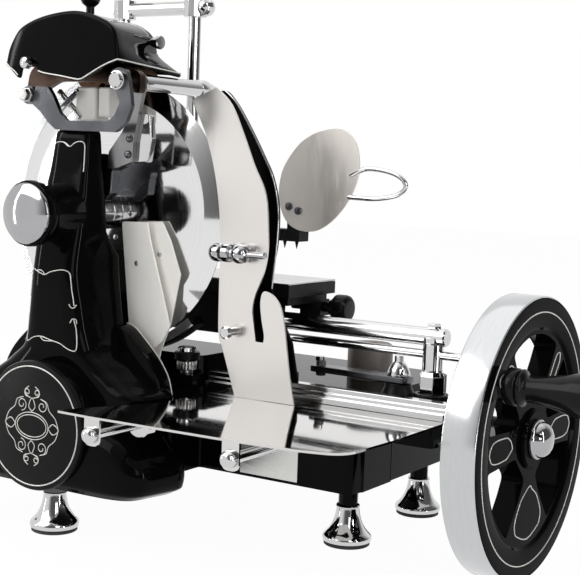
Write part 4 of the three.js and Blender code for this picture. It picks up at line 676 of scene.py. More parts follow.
# the lines hold x and z on the column's front
scrolls = {
    "thickness": 0.55, "lift": 0.15, "before": -200,
    "edgeFoot": (100.6, 120), "edgeShift": (0.3, -0.6, 0.3), "edgeThickness": 0.6,
    "lines": [
        [
            (-18.6, 371), (-18.8, 374.5), (-16.2, 377), (-9.5, 377.8), (-4.2, 376.7), (1.5, 373.5),
            (6.1, 376.5), (10.8, 378.3), (16, 378.4), (18.6, 376), (19.4, 372),
        ],
        [(19.4, 372), (20, 364), (21, 350)],
        [
            (-24.6, 250), (-24.4, 255), (-20, 255.6), (-16.1, 254), (-10.5, 252), (-5.2, 251), (1, 253.9),
            (8.6, 255.9), (15.8, 257), (20.9, 256.2), (23.4, 253.6), (24.4, 248), (25.6, 238.5), (27.2, 229),
            (27.9, 223.4),
        ],
        [(23.7, 225), (25.6, 221.8), (28, 221.5), (29.4, 224.4)],
        [(24.9, 207), (27, 210.6), (29.8, 210.4), (30.8, 206.6)],
        [
            (28.4, 210), (30.6, 200.7), (32, 186.5), (31, 180.9), (27.4, 180.4), (20.3, 182.5), (12.8, 186.1),
            (3.9, 187.6), (-5.1, 189.6), (-12.9, 190.7), (-21, 189), (-28, 185.4), (-31.4, 184.4), (-32, 188),
        ],
        [(-24.8, 250), (-26, 240), (-27.6, 228)], [(-28.8, 212), (-30.4, 200), (-32, 188)],
        [(-16.1, 254), (-12, 255), (-8, 254), (-5.2, 251)],
        [(1.5, 373.5), (-2, 374.4), (-6, 377), (-9.5, 377.8)],
        [(-12.9, 190.7), (-9, 187.4), (-4, 187), (3.9, 187.6)],
    ],
}


def onCasting(points):
    out = []
    for x, z in flowing(points, 4, False):
        hit = castingTree.ray_cast(Vector((x, scrolls["before"], z)) * millimetre, Vector((0, 1, 0)))[0]
        out.append((x, hit.y / millimetre - scrolls["lift"], z))
    return out


wire([onCasting(line) for line in scrolls["lines"]], scrolls["thickness"], "columnScrolls", "frame")
outX, outY, outZ = scrolls["edgeShift"]
edgeLine = [(x + outX, column["flangeY"][1] + outY, z + outZ) for x, z in [scrolls["edgeFoot"]] + flangeSide]
wire([edgeLine, [(-x, y, z) for x, y, z in edgeLine]], scrolls["edgeThickness"], "flangeStripes", "frame")

ear = {
    "plate": [
        (30, 352), (46, 356), (61, 361), (62, 380), (68, 410), (72.8, 430, 8), (72.8, 444.4, 9),
        (55, 444.4, 9), (56, 428), (58, 410), (48, 389), (32, 370),
    ],
    "bar": [(55, 406), (76, 407), (79, 384), (75, 361), (54, 359)],
    "carrier": [(-26, 322), (22, 322), (31, 330), (33, 352), (46, 357), (44, 366), (20, 368), (-20, 366)],
    "screws": [(57.4, 383), (56, 368)], "screwSize": (3.8, 2),
    "rodHole": 6.3, "y": (31, 36), "barY": (36.2, 45), "carrierY": (36.2, 49),
}
rodHole = circle(ear["rodHole"], 32, tieAxis[::2])
earPlate = sheet(filleted(ear["plate"], 5), *ear["y"], "y", [rodHole])
finished(earPlate, "frame", greySteel, 0.9, 2, trim="earPlate")
finished(sheet(filleted(ear["bar"], 4), *ear["barY"], "y"), "frame", chrome, 1.4, trim="earBar")
carrier = sheet(filleted(ear["carrier"], 5), *ear["carrierY"], "y")
finished(carrier, "frame", darkSteel, 1.6, trim="bladeCarrier")
earScrews = [(x, ear["y"][0], z) for x, z in ear["screws"]]
screwHeads("earScrew", "frame", darkSteel, earScrews, *ear["screwSize"])

cover = {
    "disc": [(0, -34.3), (59.5, -34.3), (61.6, -33.6), (62.5, -31.8), (62.5, -28.3), (0, -28.3)],
    "line": 57.2,
}
lathed(cover["disc"], "y", coverAxis, 120, "chain_cover", satinPaint, angle=40.0, name="chainCoverDisc")


def onCover(points):
    return [(x, cover["disc"][0][1], coverAxis[2] + z) for x, z in points]


def curl(x, z, radius, turns, start, hand):
    # a scroll that winds in towards its centre
    steps = rosette["curlSteps"]
    spots = []
    for i in range(steps + 1):
        reach = radius * (1 - rosette["curlDraw"] * i / steps)
        turn = math.radians(start + hand * 360 * turns * i / steps)
        spots.append((x + reach * math.cos(turn), z + reach * math.sin(turn)))
    return spots


rosette = {
    "oval": ((21, 13), (18.5, 10.5)), "stripe": 0.5, "ring": 0.75, "curlSteps": 16, "curlDraw": 0.72,
    "bud": [(0, 14), (-4, 19), (0, 27), (4, 19), (0, 14)],
    "leaf": [(21, 0), (27, 5), (34, 0), (27, -5), (21, 0)],
    "curls": ((13, 20, 6.5, 1.3), (6, 32, 4.2, 1.2)),
    "sprays": ([(34, 0), (30, 10), (22, 17), (19, 24), (11, 27)], [(2, 27), (7, 29), (9, 34), (4, 38)]),
}
ornament = [
    [(a * math.cos(t), b * math.sin(t)) for t in (math.radians(6 * i) for i in range(61))]
    for a, b in rosette["oval"]
]
for side in (-1, 1):
    ornament.append(flowing([(x, z * side) for x, z in rosette["bud"]], 5, False))
    ornament.append(flowing([(x * side, z) for x, z in rosette["leaf"]], 5, False))
    for hand in (-1, 1):
        starts = ((90 * hand + 90 - 90 * side, -1), (-90 * hand, 1))
        for (x, z, radius, turns), (start, way) in zip(rosette["curls"], starts):
            ornament.append(curl(x * side, z * hand, radius, turns, start, way * side * hand))
        for spray in rosette["sprays"]:
            ornament.append(flowing([(x * side, z * hand) for x, z in spray], 5, False))
wire([onCover(line) for line in ornament], rosette["stripe"], "coverRosette", "frame")
wire([onCover(circle(cover["line"], 120))], rosette["ring"], "coverRing", "frame", closed=True)
dome = [
    (0, -45.3), (28.4, -45.3), (28.4, -47.2), (27.6, -48.4), (26, -49), (24.5, -49.6), (20, -51.3),
    (14, -52.5), (7, -53.15), (0, -53.3),
]
lathed(dome, "y", bladeAxis, 96, "badge_cap", shadedChrome, angle=50.0, name="badgeDome")
print("column made")

# base

refined("base_casting", glossPaint, 1.8, 30.0)
ratingPlate = {"low": (150, 98.9, 63), "high": (216, 100, 93)}
finished(bar(ratingPlate["low"], ratingPlate["high"]), "frame", plateFinish, 0.4, trim="ratingPlateBare")

# blade, hub, guard ring and scraper

blade = {
    "disc": [
        (8.3, 72.5), (30, 72.5), (40, 72.7), (76, 75), (106, 77), (112.5, 77.5), (113.3, 77.6), (131.6, 84.6),
        (132.5, 85), (132.5, 85.6), (131, 85.4), (112.5, 81.5), (76, 79), (30, 76.5), (8.3, 76.5),
        (8.3, 72.5),
    ],
    "hub": [(0, 60.2), (16.6, 60.2), (17, 60.6), (17, 71.8), (16.6, 72.2), (0, 72.2)],
    "sleeve": [
        (8.3, 31.4), (16.6, 31.4), (17, 32), (17, 43.4), (16, 43.6), (16, 44.8), (17, 45), (17, 59.5),
        (16.6, 59.9), (8.3, 59.9), (8.3, 31.4),
    ],
    "shaft": [(0, -29), (8, -29), (8, 76.8), (14.4, 76.8), (13.6, 80), (12, 81.3), (0, 81.3)],
    "screws": 5, "screwCircle": 26, "screwFace": 72.6, "screwSize": (2.8, 1),
}
lathed(blade["disc"], "y", bladeAxis, 180, "blade", bladeFinish, angle=12.0, name="bladeDisc")
hub = added(lathe(blade["hub"], "y", bladeAxis, 72), lathe(blade["shaft"], "y", bladeAxis, 40))
finished(hub, "blade_shaft", barChrome, name="bladeHub")
lathed(blade["sleeve"], "y", bladeAxis, 56, "blade_bearing", barChrome, name="bladeBearingSleeve")
screwCircle = circle(blade["screwCircle"], blade["screws"], bladeAxis[::2])
bladeScrews = [(x, blade["screwFace"], z) for x, z in screwCircle]
screwHeads("bladeScrew", "blade", steel, bladeScrews, *blade["screwSize"])
guardRing = {
    "foot": ((-12, 90, 142), (12, 106, 174)),
    "section": [
        (133.8, 88), (134.6, 87.2), (142.2, 87.2), (143.2, 88.4), (143.2, 107.6), (142.2, 108.8),
        (134.6, 108.8), (133.8, 108),
    ],
    "from": 110, "to": 312,
}
ringSweep = guardRing["to"] - guardRing["from"]
ring = lathe(guardRing["section"], "y", bladeAxis, 120, ringSweep, guardRing["from"])
finished(added(ring, bar(*guardRing["foot"])), "blade_guard_ring", aluminium)
scraper = {
    "front": [
        (26, 302, 3), (58, 303, 3), (62, 286), (89, 204, 3), (80, 188), (60, 172), (52, 142.3), (42, 142.3),
        (38, 200),
    ],
    "rear": [
        (50, 303), (70, 304, 3), (81, 286), (94, 254, 3), (84, 206), (72, 176), (66, 142.3), (56, 142.3),
        (56, 200),
    ],
    "frontY": (60, 62), "rearY": (68, 70),
    "screws": [(46, 60, 262), (68, 68, 272)], "screwSize": (2.6, 1.2),
    "spacer": [(0, 61), (4, 61), (4, 69), (0, 69)], "spacerSpots": ((58, 262), (60, 160)),
}
blades = [sheet(filleted(scraper[side], 2), *scraper[side + "Y"], "y") for side in ("front", "rear")]
spacers = [lathe(scraper["spacer"], "y", (x, 0, z), 20) for x, z in scraper["spacerSpots"]]
finished(added(*blades, *spacers), "scraper_plate", paleSteel, 0.4, 2, name="scraperPlates")
screwHeads("scraperScrew", "frame", steel, scraper["screws"], *scraper["screwSize"])
print("blade made")

# flywheel and crank

wheel = {
    "back": 405, "y": 140, "z": 131, "crankReach": 95, "crankTurn": 143, "bore": 9.3, "pinBore": 5.3,
    "tyre": [
        (123, 0), (125.6, 0), (126.4, 0.5), (126.7, 1.4), (126.7, 29.6), (126.4, 30.6), (125.8, 31),
        (125.3, 31), (125.3, 27), (123, 27), (123, 0),
    ],
    "rim": [
        (96, 1), (97.5, 0), (122.7, 0), (122.7, 27.2), (125, 27.2), (125, 29.8), (124, 30.8), (121, 31),
        (101, 31), (99, 30.4), (96, 27.6), (96, 1),
    ],
    "web": (7, 28), "webRadius": 98, "face": 31, "openingOuter": 93, "openingInner": 37, "tipCorner": 7,
    "rimCorner": 26, "stripe": 0.6, "ringStripe": 112.5, "inset": 4.6,
    "smooth": 0.3, "rimPoints": 10, "leafEnds": (6, 2), "leafPoints": 12, "leafTip": (1.4, 0.06), "lift": 0.1,
    "spokes": [
        (0, (13, 14, 15, 16)), (51, (9, 9, 10, 12)), (129, (9, 9, 10, 12)), (180, (13, 14, 15, 16)),
        (270, (12, 22, 34, 46)),
    ],
    "hub": [(9.3, 0.5), (24, 0.5), (27, 2.5), (27, 30), (25.4, 32), (9.3, 32), (9.3, 0.5)],
    "cap": [
        (0, 32.3), (17.4, 32.3), (18, 32.8), (18, 35.4), (17.5, 36.2), (16.2, 37), (15.6, 39.4), (14, 42.4),
        (11.4, 44.8), (8, 46.4), (4, 47.2), (0, 47.4),
    ],
}
wheelSpot = (wheel["back"], wheel["y"], wheel["z"])


def wheelOpening(spoke, following):
    stations = len(spoke[1]) - 1
    inner, outer = wheel["openingInner"], wheel["openingOuter"]
    corners = {0: wheel["tipCorner"], stations: wheel["rimCorner"]}

    def edge(side, sign):
        rows = []
        for i, half in enumerate(side[1]):
            radius = inner + (outer - inner) * i / stations
            corner = corners.get(i, wheel["smooth"])
            rows.append((radius, math.radians(side[0]) + sign * math.asin(half / radius), corner))
        return rows

    rising, falling = edge(spoke, 1), edge(following, -1)[::-1]
    start = rising[-1][1]
    stop = falling[0][1] + (2 * math.pi if following[0] < spoke[0] else 0)
    count = wheel["rimPoints"]
    rim = [(outer, start + (stop - start) * i / count, wheel["smooth"]) for i in range(1, count)]
    spots = [(r * math.cos(t), r * math.sin(t), c) for r, t, c in rising + rim + falling]
    return filleted(spots, wheel["tipCorner"], 8)


crankTurn = math.radians(wheel["crankTurn"])
pinSpot = (wheel["crankReach"] * math.cos(crankTurn), wheel["crankReach"] * math.sin(crankTurn))
crankPlace = (wheel["back"], wheel["y"] + pinSpot[0], wheel["z"] + pinSpot[1])
openings = [
    wheelOpening(spoke, wheel["spokes"][(i + 1) % len(wheel["spokes"])])
    for i, spoke in enumerate(wheel["spokes"])
]
openings += [circle(wheel["bore"], 32), circle(wheel["pinBore"], 24, pinSpot)]
web = sheet(circle(wheel["webRadius"], 144), *wheel["web"], "x", openings)
bmesh.ops.translate(web, vec=wheelSpot, verts=web.verts)
finished(web, "flywheel", wheelPaint, 2.2, 4, name="wheelWeb")
lathed(wheel["rim"], "x", wheelSpot, 144, "flywheel", wheelPaint, angle=25.0, trim="wheelRim")
lathed(wheel["hub"], "x", wheelSpot, 64, "flywheel", wheelPaint, angle=25.0, trim="wheelHub")
lathed(wheel["tyre"], "x", wheelSpot, 180, "wheel_tyre", tyreChrome, angle=25.0)
lathed(wheel["cap"], "x", wheelSpot, 64, "wheel_hub_cap", shadedChrome, angle=40.0)


def spokeStripe(spoke):
    # a closed leaf line that follows the spoke's own edges
    stations = len(spoke[1]) - 1
    inner, outer, count = wheel["openingInner"], wheel["openingOuter"], wheel["leafPoints"]
    first, last = inner + wheel["leafEnds"][0], outer - wheel["leafEnds"][1]
    swell, tip = wheel["leafTip"]
    rising, falling = [], []
    for i in range(count + 1):
        t = i / count
        radius = first + (last - first) * t
        share = (radius - inner) / (outer - inner)
        at = min(max(share, 0), 1) * stations
        k = min(int(at), stations - 1)
        half = spoke[1][k] + (spoke[1][k + 1] - spoke[1][k]) * (at - k)
        taper = math.sin(math.pi * min(t * swell + tip, 0.5)) * math.sqrt(max(1 - t ** 6, 0))
        half = max(half - wheel["inset"], 1) * taper
        for side, sign in ((rising, 1), (falling, -1)):
            turn = math.radians(spoke[0]) + sign * math.asin(half / radius)
            side.append((radius * math.cos(turn), radius * math.sin(turn)))
    face = wheel["back"] + wheel["web"][1] + wheel["lift"]
    return [(face, wheel["y"] + u, wheel["z"] + v) for u, v in flowing(rising + falling[::-1][1:-1], 3)]


leaves = [spokeStripe(spoke) for spoke in wheel["spokes"]]
wire(leaves, wheel["stripe"], "spokeStripes", "flywheel", closed=True)
stripeFace = wheel["back"] + wheel["face"]
rimStripe = [(stripeFace, wheel["y"] + u, wheel["z"] + v) for u, v in circle(wheel["ringStripe"], 180)]
wire([rimStripe], wheel["stripe"], "rimStripe", "flywheel", closed=True)

crank = {
    "collar": [
        (5.2, 35.6), (15, 35.6), (15.8, 36.4), (16, 38), (16, 43.6), (15.2, 45.4), (13.4, 46.3), (5.2, 46.3),
        (5.2, 35.6),
    ],
    "nut": [(5.2, 28.3), (12.8, 28.3), (13.4, 28.9), (13.4, 34.6), (12.6, 35.4), (5.2, 35.4), (5.2, 28.3)],
    "pin": [(0, 5), (5, 5), (5, 135.9), (0, 135.9)],
    "grip": [
        (0, 136.6), (5.6, 136.6), (5.6, 46.6), (14.6, 46.6), (15.6, 47.2), (15.8, 48.4), (15.2, 50),
        (12.6, 51.2), (10.9, 52.6), (10.7, 55), (11, 60), (12, 67), (13.6, 76), (15.6, 85), (17.6, 93),
        (18.5, 99), (18.9, 106), (19, 118), (19, 136), (18.7, 142), (17.7, 148), (15.5, 152.8), (12, 156.1),
        (7, 157.8), (0, 158.2),
    ],
}
pinNut = added(lathe(crank["nut"], "x", crankPlace, 48), lathe(crank["pin"], "x", crankPlace, 32))
finished(pinNut, "crank_pin", chrome, angle=35.0, name="crankPinNut")
lathed(crank["collar"], "x", crankPlace, 56, "crank_pin", gripFinish, angle=40.0, trim="crankCollar")
lathed(crank["grip"], "x", crankPlace, 72, "crank_grip", gripFinish, angle=60.0)
print("flywheel made")

# tray and its rods

tray = {
    "top": 142, "thick": 2, "rodHole": 3.3,
    "outline": [
        (80, -90, 4), (120, -91), (262, -86), (325, -81, 20), (364, -70, 26), (368, 0), (368, 99.4),
        (127, 99.4), (127, 2),
    ],
    "rodXs": (123, 266), "tabFronts": (-90, -85), "rodZ": 126, "tabHalf": 8.5, "drop": 26,
    "rodEnds": (-2, 105),
    "rodHead": [
        (0, -8.3), (3.6, -8.1), (5.6, -7), (6.8, -5.2), (7.4, -3.4), (7.5, -2), (7.5, -0.3), (3, -0.3),
        (3, 2.3), (5, 2.3),
    ],
    "collar": [(5, -25), (12.2, -24.7), (13, -23.7), (13, -13.6), (12.2, -12.4), (5, -12.4)],
}
trayParts = [sheet(filleted(tray["outline"], 2, 8), tray["top"] - tray["thick"], tray["top"], "z")]
for side, x, front, end in zip(("left", "right"), tray["rodXs"], tray["tabFronts"], tray["rodEnds"]):
    low = tray["top"] - tray["drop"]
    near, away, high = x - tray["tabHalf"], x + tray["tabHalf"], tray["top"] - 1
    tab = filleted([(near, high, 0.2), (near, low, 7), (away, low, 7), (away, high, 0.2)], 2, 8)
    hole = circle(tray["rodHole"], 24, (x, tray["rodZ"]))
    trayParts.append(sheet(tab, front, front + tray["thick"], "y", [hole]))
    head = [(r, front + y) for r, y in tray["rodHead"]]
    collar = [(r, end + y) for r, y in tray["collar"]] if side == "left" else []
    lathed(head + collar + [(5, end), (0, end)], "y", (x, 0, tray["rodZ"]), 40, side + "_tray_rod", chrome)
finished(added(*trayParts), "slice_tray", trayFinish, 0.5, 2)

# deflector, gauge and their fittings

deflector = {
    "front": 74, "back": 76, "screwSpot": (154, 204), "clampSpot": (151, 279), "holes": (3.3, 5.4),
    "edge": 0.8, "gaugeY": (96, 100), "gaugeFoot": ((156, 96.2, 157.3), (206, 112, 167)),
    "left": [
        (158, 142.3), (141, 190), (137, 200), (136, 240), (136, 280), (133, 322), (125, 361), (113, 394),
        (97, 422),
    ],
    "right": [
        (126, 434), (144, 418), (159, 390), (172, 362), (186, 335), (190, 300), (190, 280), (187, 264),
        (182, 251), (177.5, 240), (175, 228), (176.4, 217), (179, 203), (180, 197), (188.6, 197),
        (189.2, 204), (186, 218), (184, 232), (184.8, 241), (187.5, 245), (192, 245), (199, 241.4),
        (205.4, 234), (210, 222), (213.6, 202), (218, 174), (225, 142.3),
    ],
    "gauge": [
        (150, 159), (214, 159), (206, 196), (182, 246), (186, 290), (186, 322), (179, 350), (167, 372),
        (150, 399), (134, 421), (121, 432), (112, 426), (130, 392), (141, 356), (146, 322), (147, 300),
        (146, 262), (138, 228),
    ],
}


def smoothSide(points, sharp):
    # a smooth line through the points, broken at the sharp corners
    out, run = [], []
    for i, point in enumerate(points):
        run.append(point)
        if i in sharp and len(run) > 1:
            out += flowing(run, 5, False)[:-1]
            run = [point]
    return out + (flowing(run, 5, False) if len(run) > 1 else run)


leftSide = smoothSide(deflector["left"], {1})
rightSide = smoothSide(deflector["right"], {13, 14})
screwSpot, clampSpot = deflector["screwSpot"], deflector["clampSpot"]
deflectorHoles = [circle(r, 24, spot) for r, spot in zip(deflector["holes"], (screwSpot, clampSpot))]
deflectorSheet = sheet(leftSide + rightSide, deflector["front"], deflector["back"], "y", deflectorHoles)
finished(deflectorSheet, "slice_deflector", deflectorFinish, 0.45, 2, 40.0)
gaugeSheet = sheet(smoothSide(deflector["gauge"], {0, 1, 2}), *deflector["gaugeY"], "y")
finished(added(gaugeSheet, bar(*deflector["gaugeFoot"])), "gauge_plate", glossPaint, 0.8, 2)
# a chrome line along the gauge plate's outer edge: a painted highlight standing in for light caught on the
# plate's bevelled edge
gaugeEdge = smoothSide(deflector["gauge"][3:11], ())
paintedHighlightLine = [(x, deflector["gaugeY"][0], z) for x, z in gaugeEdge]
wire([paintedHighlightLine], deflector["edge"], "gaugePaintedHighlight", "gauge_plate", finish=chrome, sides=2)
fitting = {
    "gap": 0.3, "barrelRadius": 9.2, "barrelFrom": 131, "stemRadius": 5, "stemEnd": 79,
    "screw": [
        (0, 59.7), (4.6, 59.7), (6, 60.6), (6, 64.5), (4.2, 65.7), (4.2, 73.7), (4, 73.7), (4, 79), (0, 79),
    ],
    "barrel": [
        (0, 2), (3.6, 2), (6.4, 3), (8.2, 5.4), (8.6, 8), (8.6, 12.6), (8, 14), (5.6, 15), (5.6, 16.6),
        (8, 17), (8.6, 17.8), (8.6, 24), (8, 24.8), (5.4, 25.6), (5.2, 27.6), (6.6, 28.6), (8.4, 30.8),
        (9.2, 34), (9.2, 37), (8.4, 40), (6.6, 42.4), (3, 43.8), (3, 62), (0, 62.4),
    ],
}
lathed(fitting["screw"], "y", (screwSpot[0], 0, screwSpot[1]), 32, "deflector_screw", chrome)
barrelY = deflector["front"] - fitting["gap"] - fitting["barrelRadius"]
stemRadius, stemEnd = fitting["stemRadius"], fitting["stemEnd"]
stem = [(0, barrelY), (stemRadius, barrelY), (stemRadius, stemEnd), (0, stemEnd)]
clampParts = [
    lathe(fitting["barrel"], "x", (fitting["barrelFrom"], barrelY, clampSpot[1]), 40),
    lathe(stem, "y", (clampSpot[0], 0, clampSpot[1]), 32),
]
finished(added(*clampParts), "deflector_clamp", shadedChrome)
knob = {
    "spot": (84, 96, 0), "rim": 9.9, "tooth": 0.93,
    "profile": [
        (0, 143), (4, 143), (4, 154.3), (6.4, 154.3), (6.4, 157), (9.2, 157), (10, 157.8), (10, 165.2),
        (9.2, 166), (4, 166), (4, 178.8), (3.2, 179.8), (0, 180),
    ],
    "teeth": 24,
    "collar": [(4.3, 167.2), (12, 167.2), (13, 168), (13, 174), (12, 175), (4.3, 175), (4.3, 167.2)],
    "cap": [(4.3, 175.4), (8.6, 175.4), (9.4, 176), (9.4, 179), (8.6, 180), (4.3, 180), (4.3, 175.4)],
}
knurled = lathe(knob["profile"], "z", knob["spot"], knob["teeth"] * 2)
knobX, knobY = knob["spot"][:2]
for vert in knurled.verts:
    reach = Vector((vert.co.x - knobX, vert.co.y - knobY))
    if reach.length > knob["rim"]:
        step = round(math.degrees(math.atan2(reach.y, reach.x)) / (180 / knob["teeth"]))
        if step % 2:
            vert.co.x, vert.co.y = knobX + reach.x * knob["tooth"], knobY + reach.y * knob["tooth"]
finished(knurled, "thickness_knob", steel)
for part, finish in (("collar", satinPaint), ("cap", chrome)):
    lathed(knob[part], "z", knob["spot"], 48, "thickness_knob", finish, trim="thickness" + part.capitalize())
print("tray and deflector made")

# rail, guide bar, lever and carriage

refined("front_rail", barChrome, 0.6)
guide = {
    "y": 152, "barZ": 209.5, "rodZ": 193, "postXs": {"left": -90, "right": 327},
    "stud": [(0, 209.5), (3.8, 209.5), (3.8, 221.4), (3.2, 221.8), (0, 221.8)],
    "bar": [(0, -104), (7.4, -104), (8.5, -102.6), (8.5, 339.6), (7.4, 341), (0, 341)],
    "rod": [(0, -104), (4, -104), (4, 391), (3.2, 392), (0, 392)],
    "post": [(0, 177.3), (10.2, 177.3), (9.6, 179), (9.6, 203), (10.4, 204), (10.4, 209.5), (0, 209.5)],
    "hex": [(0, 156.6), (13, 156.6), (13, 173), (11.8, 174.6), (10.4, 177.2), (0, 177.2)],
    "shoe": [
        (12.8, 150.3), (17, 150.3), (17.6, 151), (17, 155.4), (15.4, 156.4), (12.8, 156.4), (12.8, 150.3),
    ],
    "bolt": [(0, 217.4), (6.4, 217.4), (6.8, 218), (6.8, 221.2), (6, 222), (0, 222)],
}
rightPost = (guide["postXs"]["right"], guide["y"], 0)
barParts = [
    lathe(guide["bar"], "x", (0, guide["y"], guide["barZ"]), 56),
    lathe(guide["stud"], "z", rightPost, 24),
    lathe(guide["bolt"], "z", rightPost, 6),
]
finished(added(*barParts), "guide_bar", barChrome)
lathed(guide["rod"], "x", (0, guide["y"], guide["rodZ"]), 32, "thin_rod", chrome)
for side, x in guide["postXs"].items():
    spot = (x, guide["y"], 0)
    post = added(lathe(guide["post"], "z", spot, 40), lathe(guide["hex"], "z", spot, 6))
    finished(post, side + "_guide_post", chrome, 0.5, 2)
    lathed(guide["shoe"], "z", spot, 48, "frame", satinPaint, trim=side + "PostShoe")
pivot = {
    "spot": (292, 152, 0), "boltSpot": (205, 152, 174), "drumSpot": (222, 222, 0),
    "drum": [(0, 150.3), (23, 150.3), (23, 182.4), (22, 184.6), (20, 186), (8, 186), (7, 185), (0, 185)],
    "cone": [
        (0, 150.3), (15.6, 150.3), (16.2, 151), (15.4, 154), (13.4, 158), (12.6, 161.8), (12, 162.4),
        (5.5, 162.5), (5.5, 169.5), (0, 169.5),
    ],
    "bolt": [(0, 4), (4.888, 4), (5.2, 3.4), (5.2, 0), (0, 0)],
    "cap": [
        (0, 169.5), (11, 169.5), (11.2, 171), (9.6, 176), (7.6, 179.6), (5.4, 181.8), (4.4, 182.6),
        (4.4, 187.4), (3.8, 188), (0, 188),
    ],
}
lathed(pivot["cone"], "z", pivot["spot"], 48, "lever_pivot", satinPaint, name="leverPivotCone")
lathed(pivot["cap"], "z", pivot["spot"], 48, "frame", chrome, trim="leverPivotCap")
refined("drive_lever", darkSteel, 0.8)
boltHead = lathe(pivot["bolt"], "z", pivot["boltSpot"], 6)
finished(boltHead, "drive_lever", chrome, 0.312, 2, trim="leverBolt")
lathed(pivot["drum"], "z", pivot["drumSpot"], 56, "drive_drum", castGrey)
refined("carriage_saddle", satinPaint, 2.0)
print("guide made")

# table, posts and press

refined("table_frame", satinPaint, 1.2)
refined("table_top", tableFinish, 0.5)
press = {
    "postXs": {"left": -74, "right": 21}, "y": 177,
    "post": [(0, 238.3), (6.5, 238.3), (6.5, 573.6), (5.6, 575), (0, 575)],
}
for side, x in press["postXs"].items():
    lathed(press["post"], "z", (x, press["y"], 0), 40, side + "_press_post", chrome)
refined("press_crosspiece", chrome, 0.8)
refined("press_arm", satinPaint, 1.0)
feedKnob = {
    "spot": (0, 190, 222),
    "screw": [(0, 147), (5, 147), (5, 193), (8.6, 193), (8.6, 196.5), (0, 196.5)],
    "knob": [
        (0, 196), (8.4, 196), (12, 197.6), (13.6, 199.4), (14, 201.6), (14, 209), (13.2, 212), (11, 214),
        (8, 214.4), (0, 214.4),
    ],
}
feedScrew = lathe(feedKnob["screw"], "x", feedKnob["spot"], 24)
feedHead = lathe(feedKnob["knob"], "x", feedKnob["spot"], 48)
finished(added(feedScrew, feedHead), "feed_knob", gripFinish, 0.4, 2)
handGuard = {
    "outline": [
        (191, 399), (211, 400), (226, 387), (231, 367), (229, 349), (220, 330), (206, 313), (191, 302),
        (178, 298), (163, 299), (150, 306), (141, 322), (139, 340), (144, 361), (159, 382), (174, 393),
    ],
    "loop": [
        (221, 355), (238, 362), (259, 361), (275, 356), (282, 347), (273, 338.5), (250, 334), (220, 334),
    ],
    "front": 167.7, "thick": 2, "wire": 2.4, "screws": [(152, 322), (163, 318)], "screwSize": (4, 2.6),
}
guardFront, guardPlan = handGuard["front"], flowing(handGuard["outline"], 8)
guardSheet = sheet(guardPlan, guardFront, guardFront + handGuard["thick"], "y")
finished(guardSheet, "hand_guard", guardFinish, 0.45, 2, name="handGuardPlate")
loopPoints = [(x, guardFront + handGuard["thick"] / 2, z) for x, z in flowing(handGuard["loop"], 10, False)]
wire([loopPoints], handGuard["wire"], "handGuardLoop", "hand_guard", finish=chrome, sides=5)
guardScrews = [(x, guardFront, z) for x, z in handGuard["screws"]]
screwHeads("guardScrew", "hand_guard", darkSteel, guardScrews, *handGuard["screwSize"])
print("table and press made")

# sharpener

sharpener = {
    "stoneZ": 446,
    "over": [
        (-74, 452), (-71, 464), (-66, 474), (-57, 485), (-43, 492), (-25, 497), (-4, 500), (14, 500.6),
        (30, 498), (46, 493), (58, 487), (64, 480), (67, 468), (68, 453),
    ],
    "under": [
        (55, 449), (43, 444), (32, 438.6), (23, 435), (12, 436), (0, 438), (-22, 441), (-30, 443), (-33, 450),
        (-38, 456), (-44, 458), (-49, 455), (-52, 447), (-55, 438), (-62, 443),
    ],
    "front": -2, "back": 96, "wall": 2.8, "round": 5, "spread": 24, "narrowing": 29, "lowest": 448,
    "halfWidth": 66, "widening": 5, "sinking": (3, 7),
    "stripe": 0.75, "stripeOut": 0.2, "stripeUp": 1.6, "sideStripe": (69, 454.6),
    "sideYs": (0, 20, 40, 60, 80, 94),
    "lip": [(-72.6, 453), (-67, 448), (-61, 444.6), (-56.4, 440.6)],
    "button": [(0, -11), (3.6, -10.6), (5.2, -9.4), (5.8, -7.6), (5.8, -3.4), (2.6, -3), (2.6, 30), (0, 30)],
    "buttonSpot": (-42, 0, 452),
    "blocks": [((-16, 36, 399), (9, 58, 432)), ((11, 38, 403), (26, 56, 432))],
    "bars": [((-40, 402), (-9, 428)), ((-38, 428), (-9, 402))],
    "barHalf": 2.6, "barY": (30, 34), "barStep": 4.2,
    "stones": (("front", -26, 63.5), ("rear", 24, 87.3)),
    "stone": [(4.3, 0), (13.8, 0), (15, 1.2), (15, 6.8), (13.8, 8), (4.3, 8), (4.3, 0)],
    "coneSpot": (36, 74, 477), "knobSpot": (-3, 40, 501.3),
    "cone": [(0, 0), (2.6, 0), (2.6, 9), (5, 14), (6.6, 20), (6.8, 21.4), (6, 22.6), (0, 23)],
    "knob": [
        (0, 0), (4, 0), (4, 7.4), (5.2, 8.4), (8, 10.6), (9.6, 14), (10, 17.4), (9.6, 21), (8.2, 24.6),
        (6, 27.6), (3.4, 30), (0, 31),
    ],
}


def tapered(x, y, z):
    # the cover draws in towards its rear at the top and spreads at its lower right edge
    far = (y - sharpener["front"]) / (sharpener["back"] - sharpener["front"])
    raised = min(max((z - sharpener["lowest"]) / sharpener["spread"], 0), 1)
    raised = raised * raised * (3 - 2 * raised)
    side = min(max(x / sharpener["halfWidth"], 0), 1)
    low = side * (1 - raised)
    inward = sharpener["narrowing"] * side * raised - sharpener["widening"] * low
    rearSink, sideSink = sharpener["sinking"]
    return Vector((x - far * inward, y, z - far * (rearSink * raised + sideSink * low)))


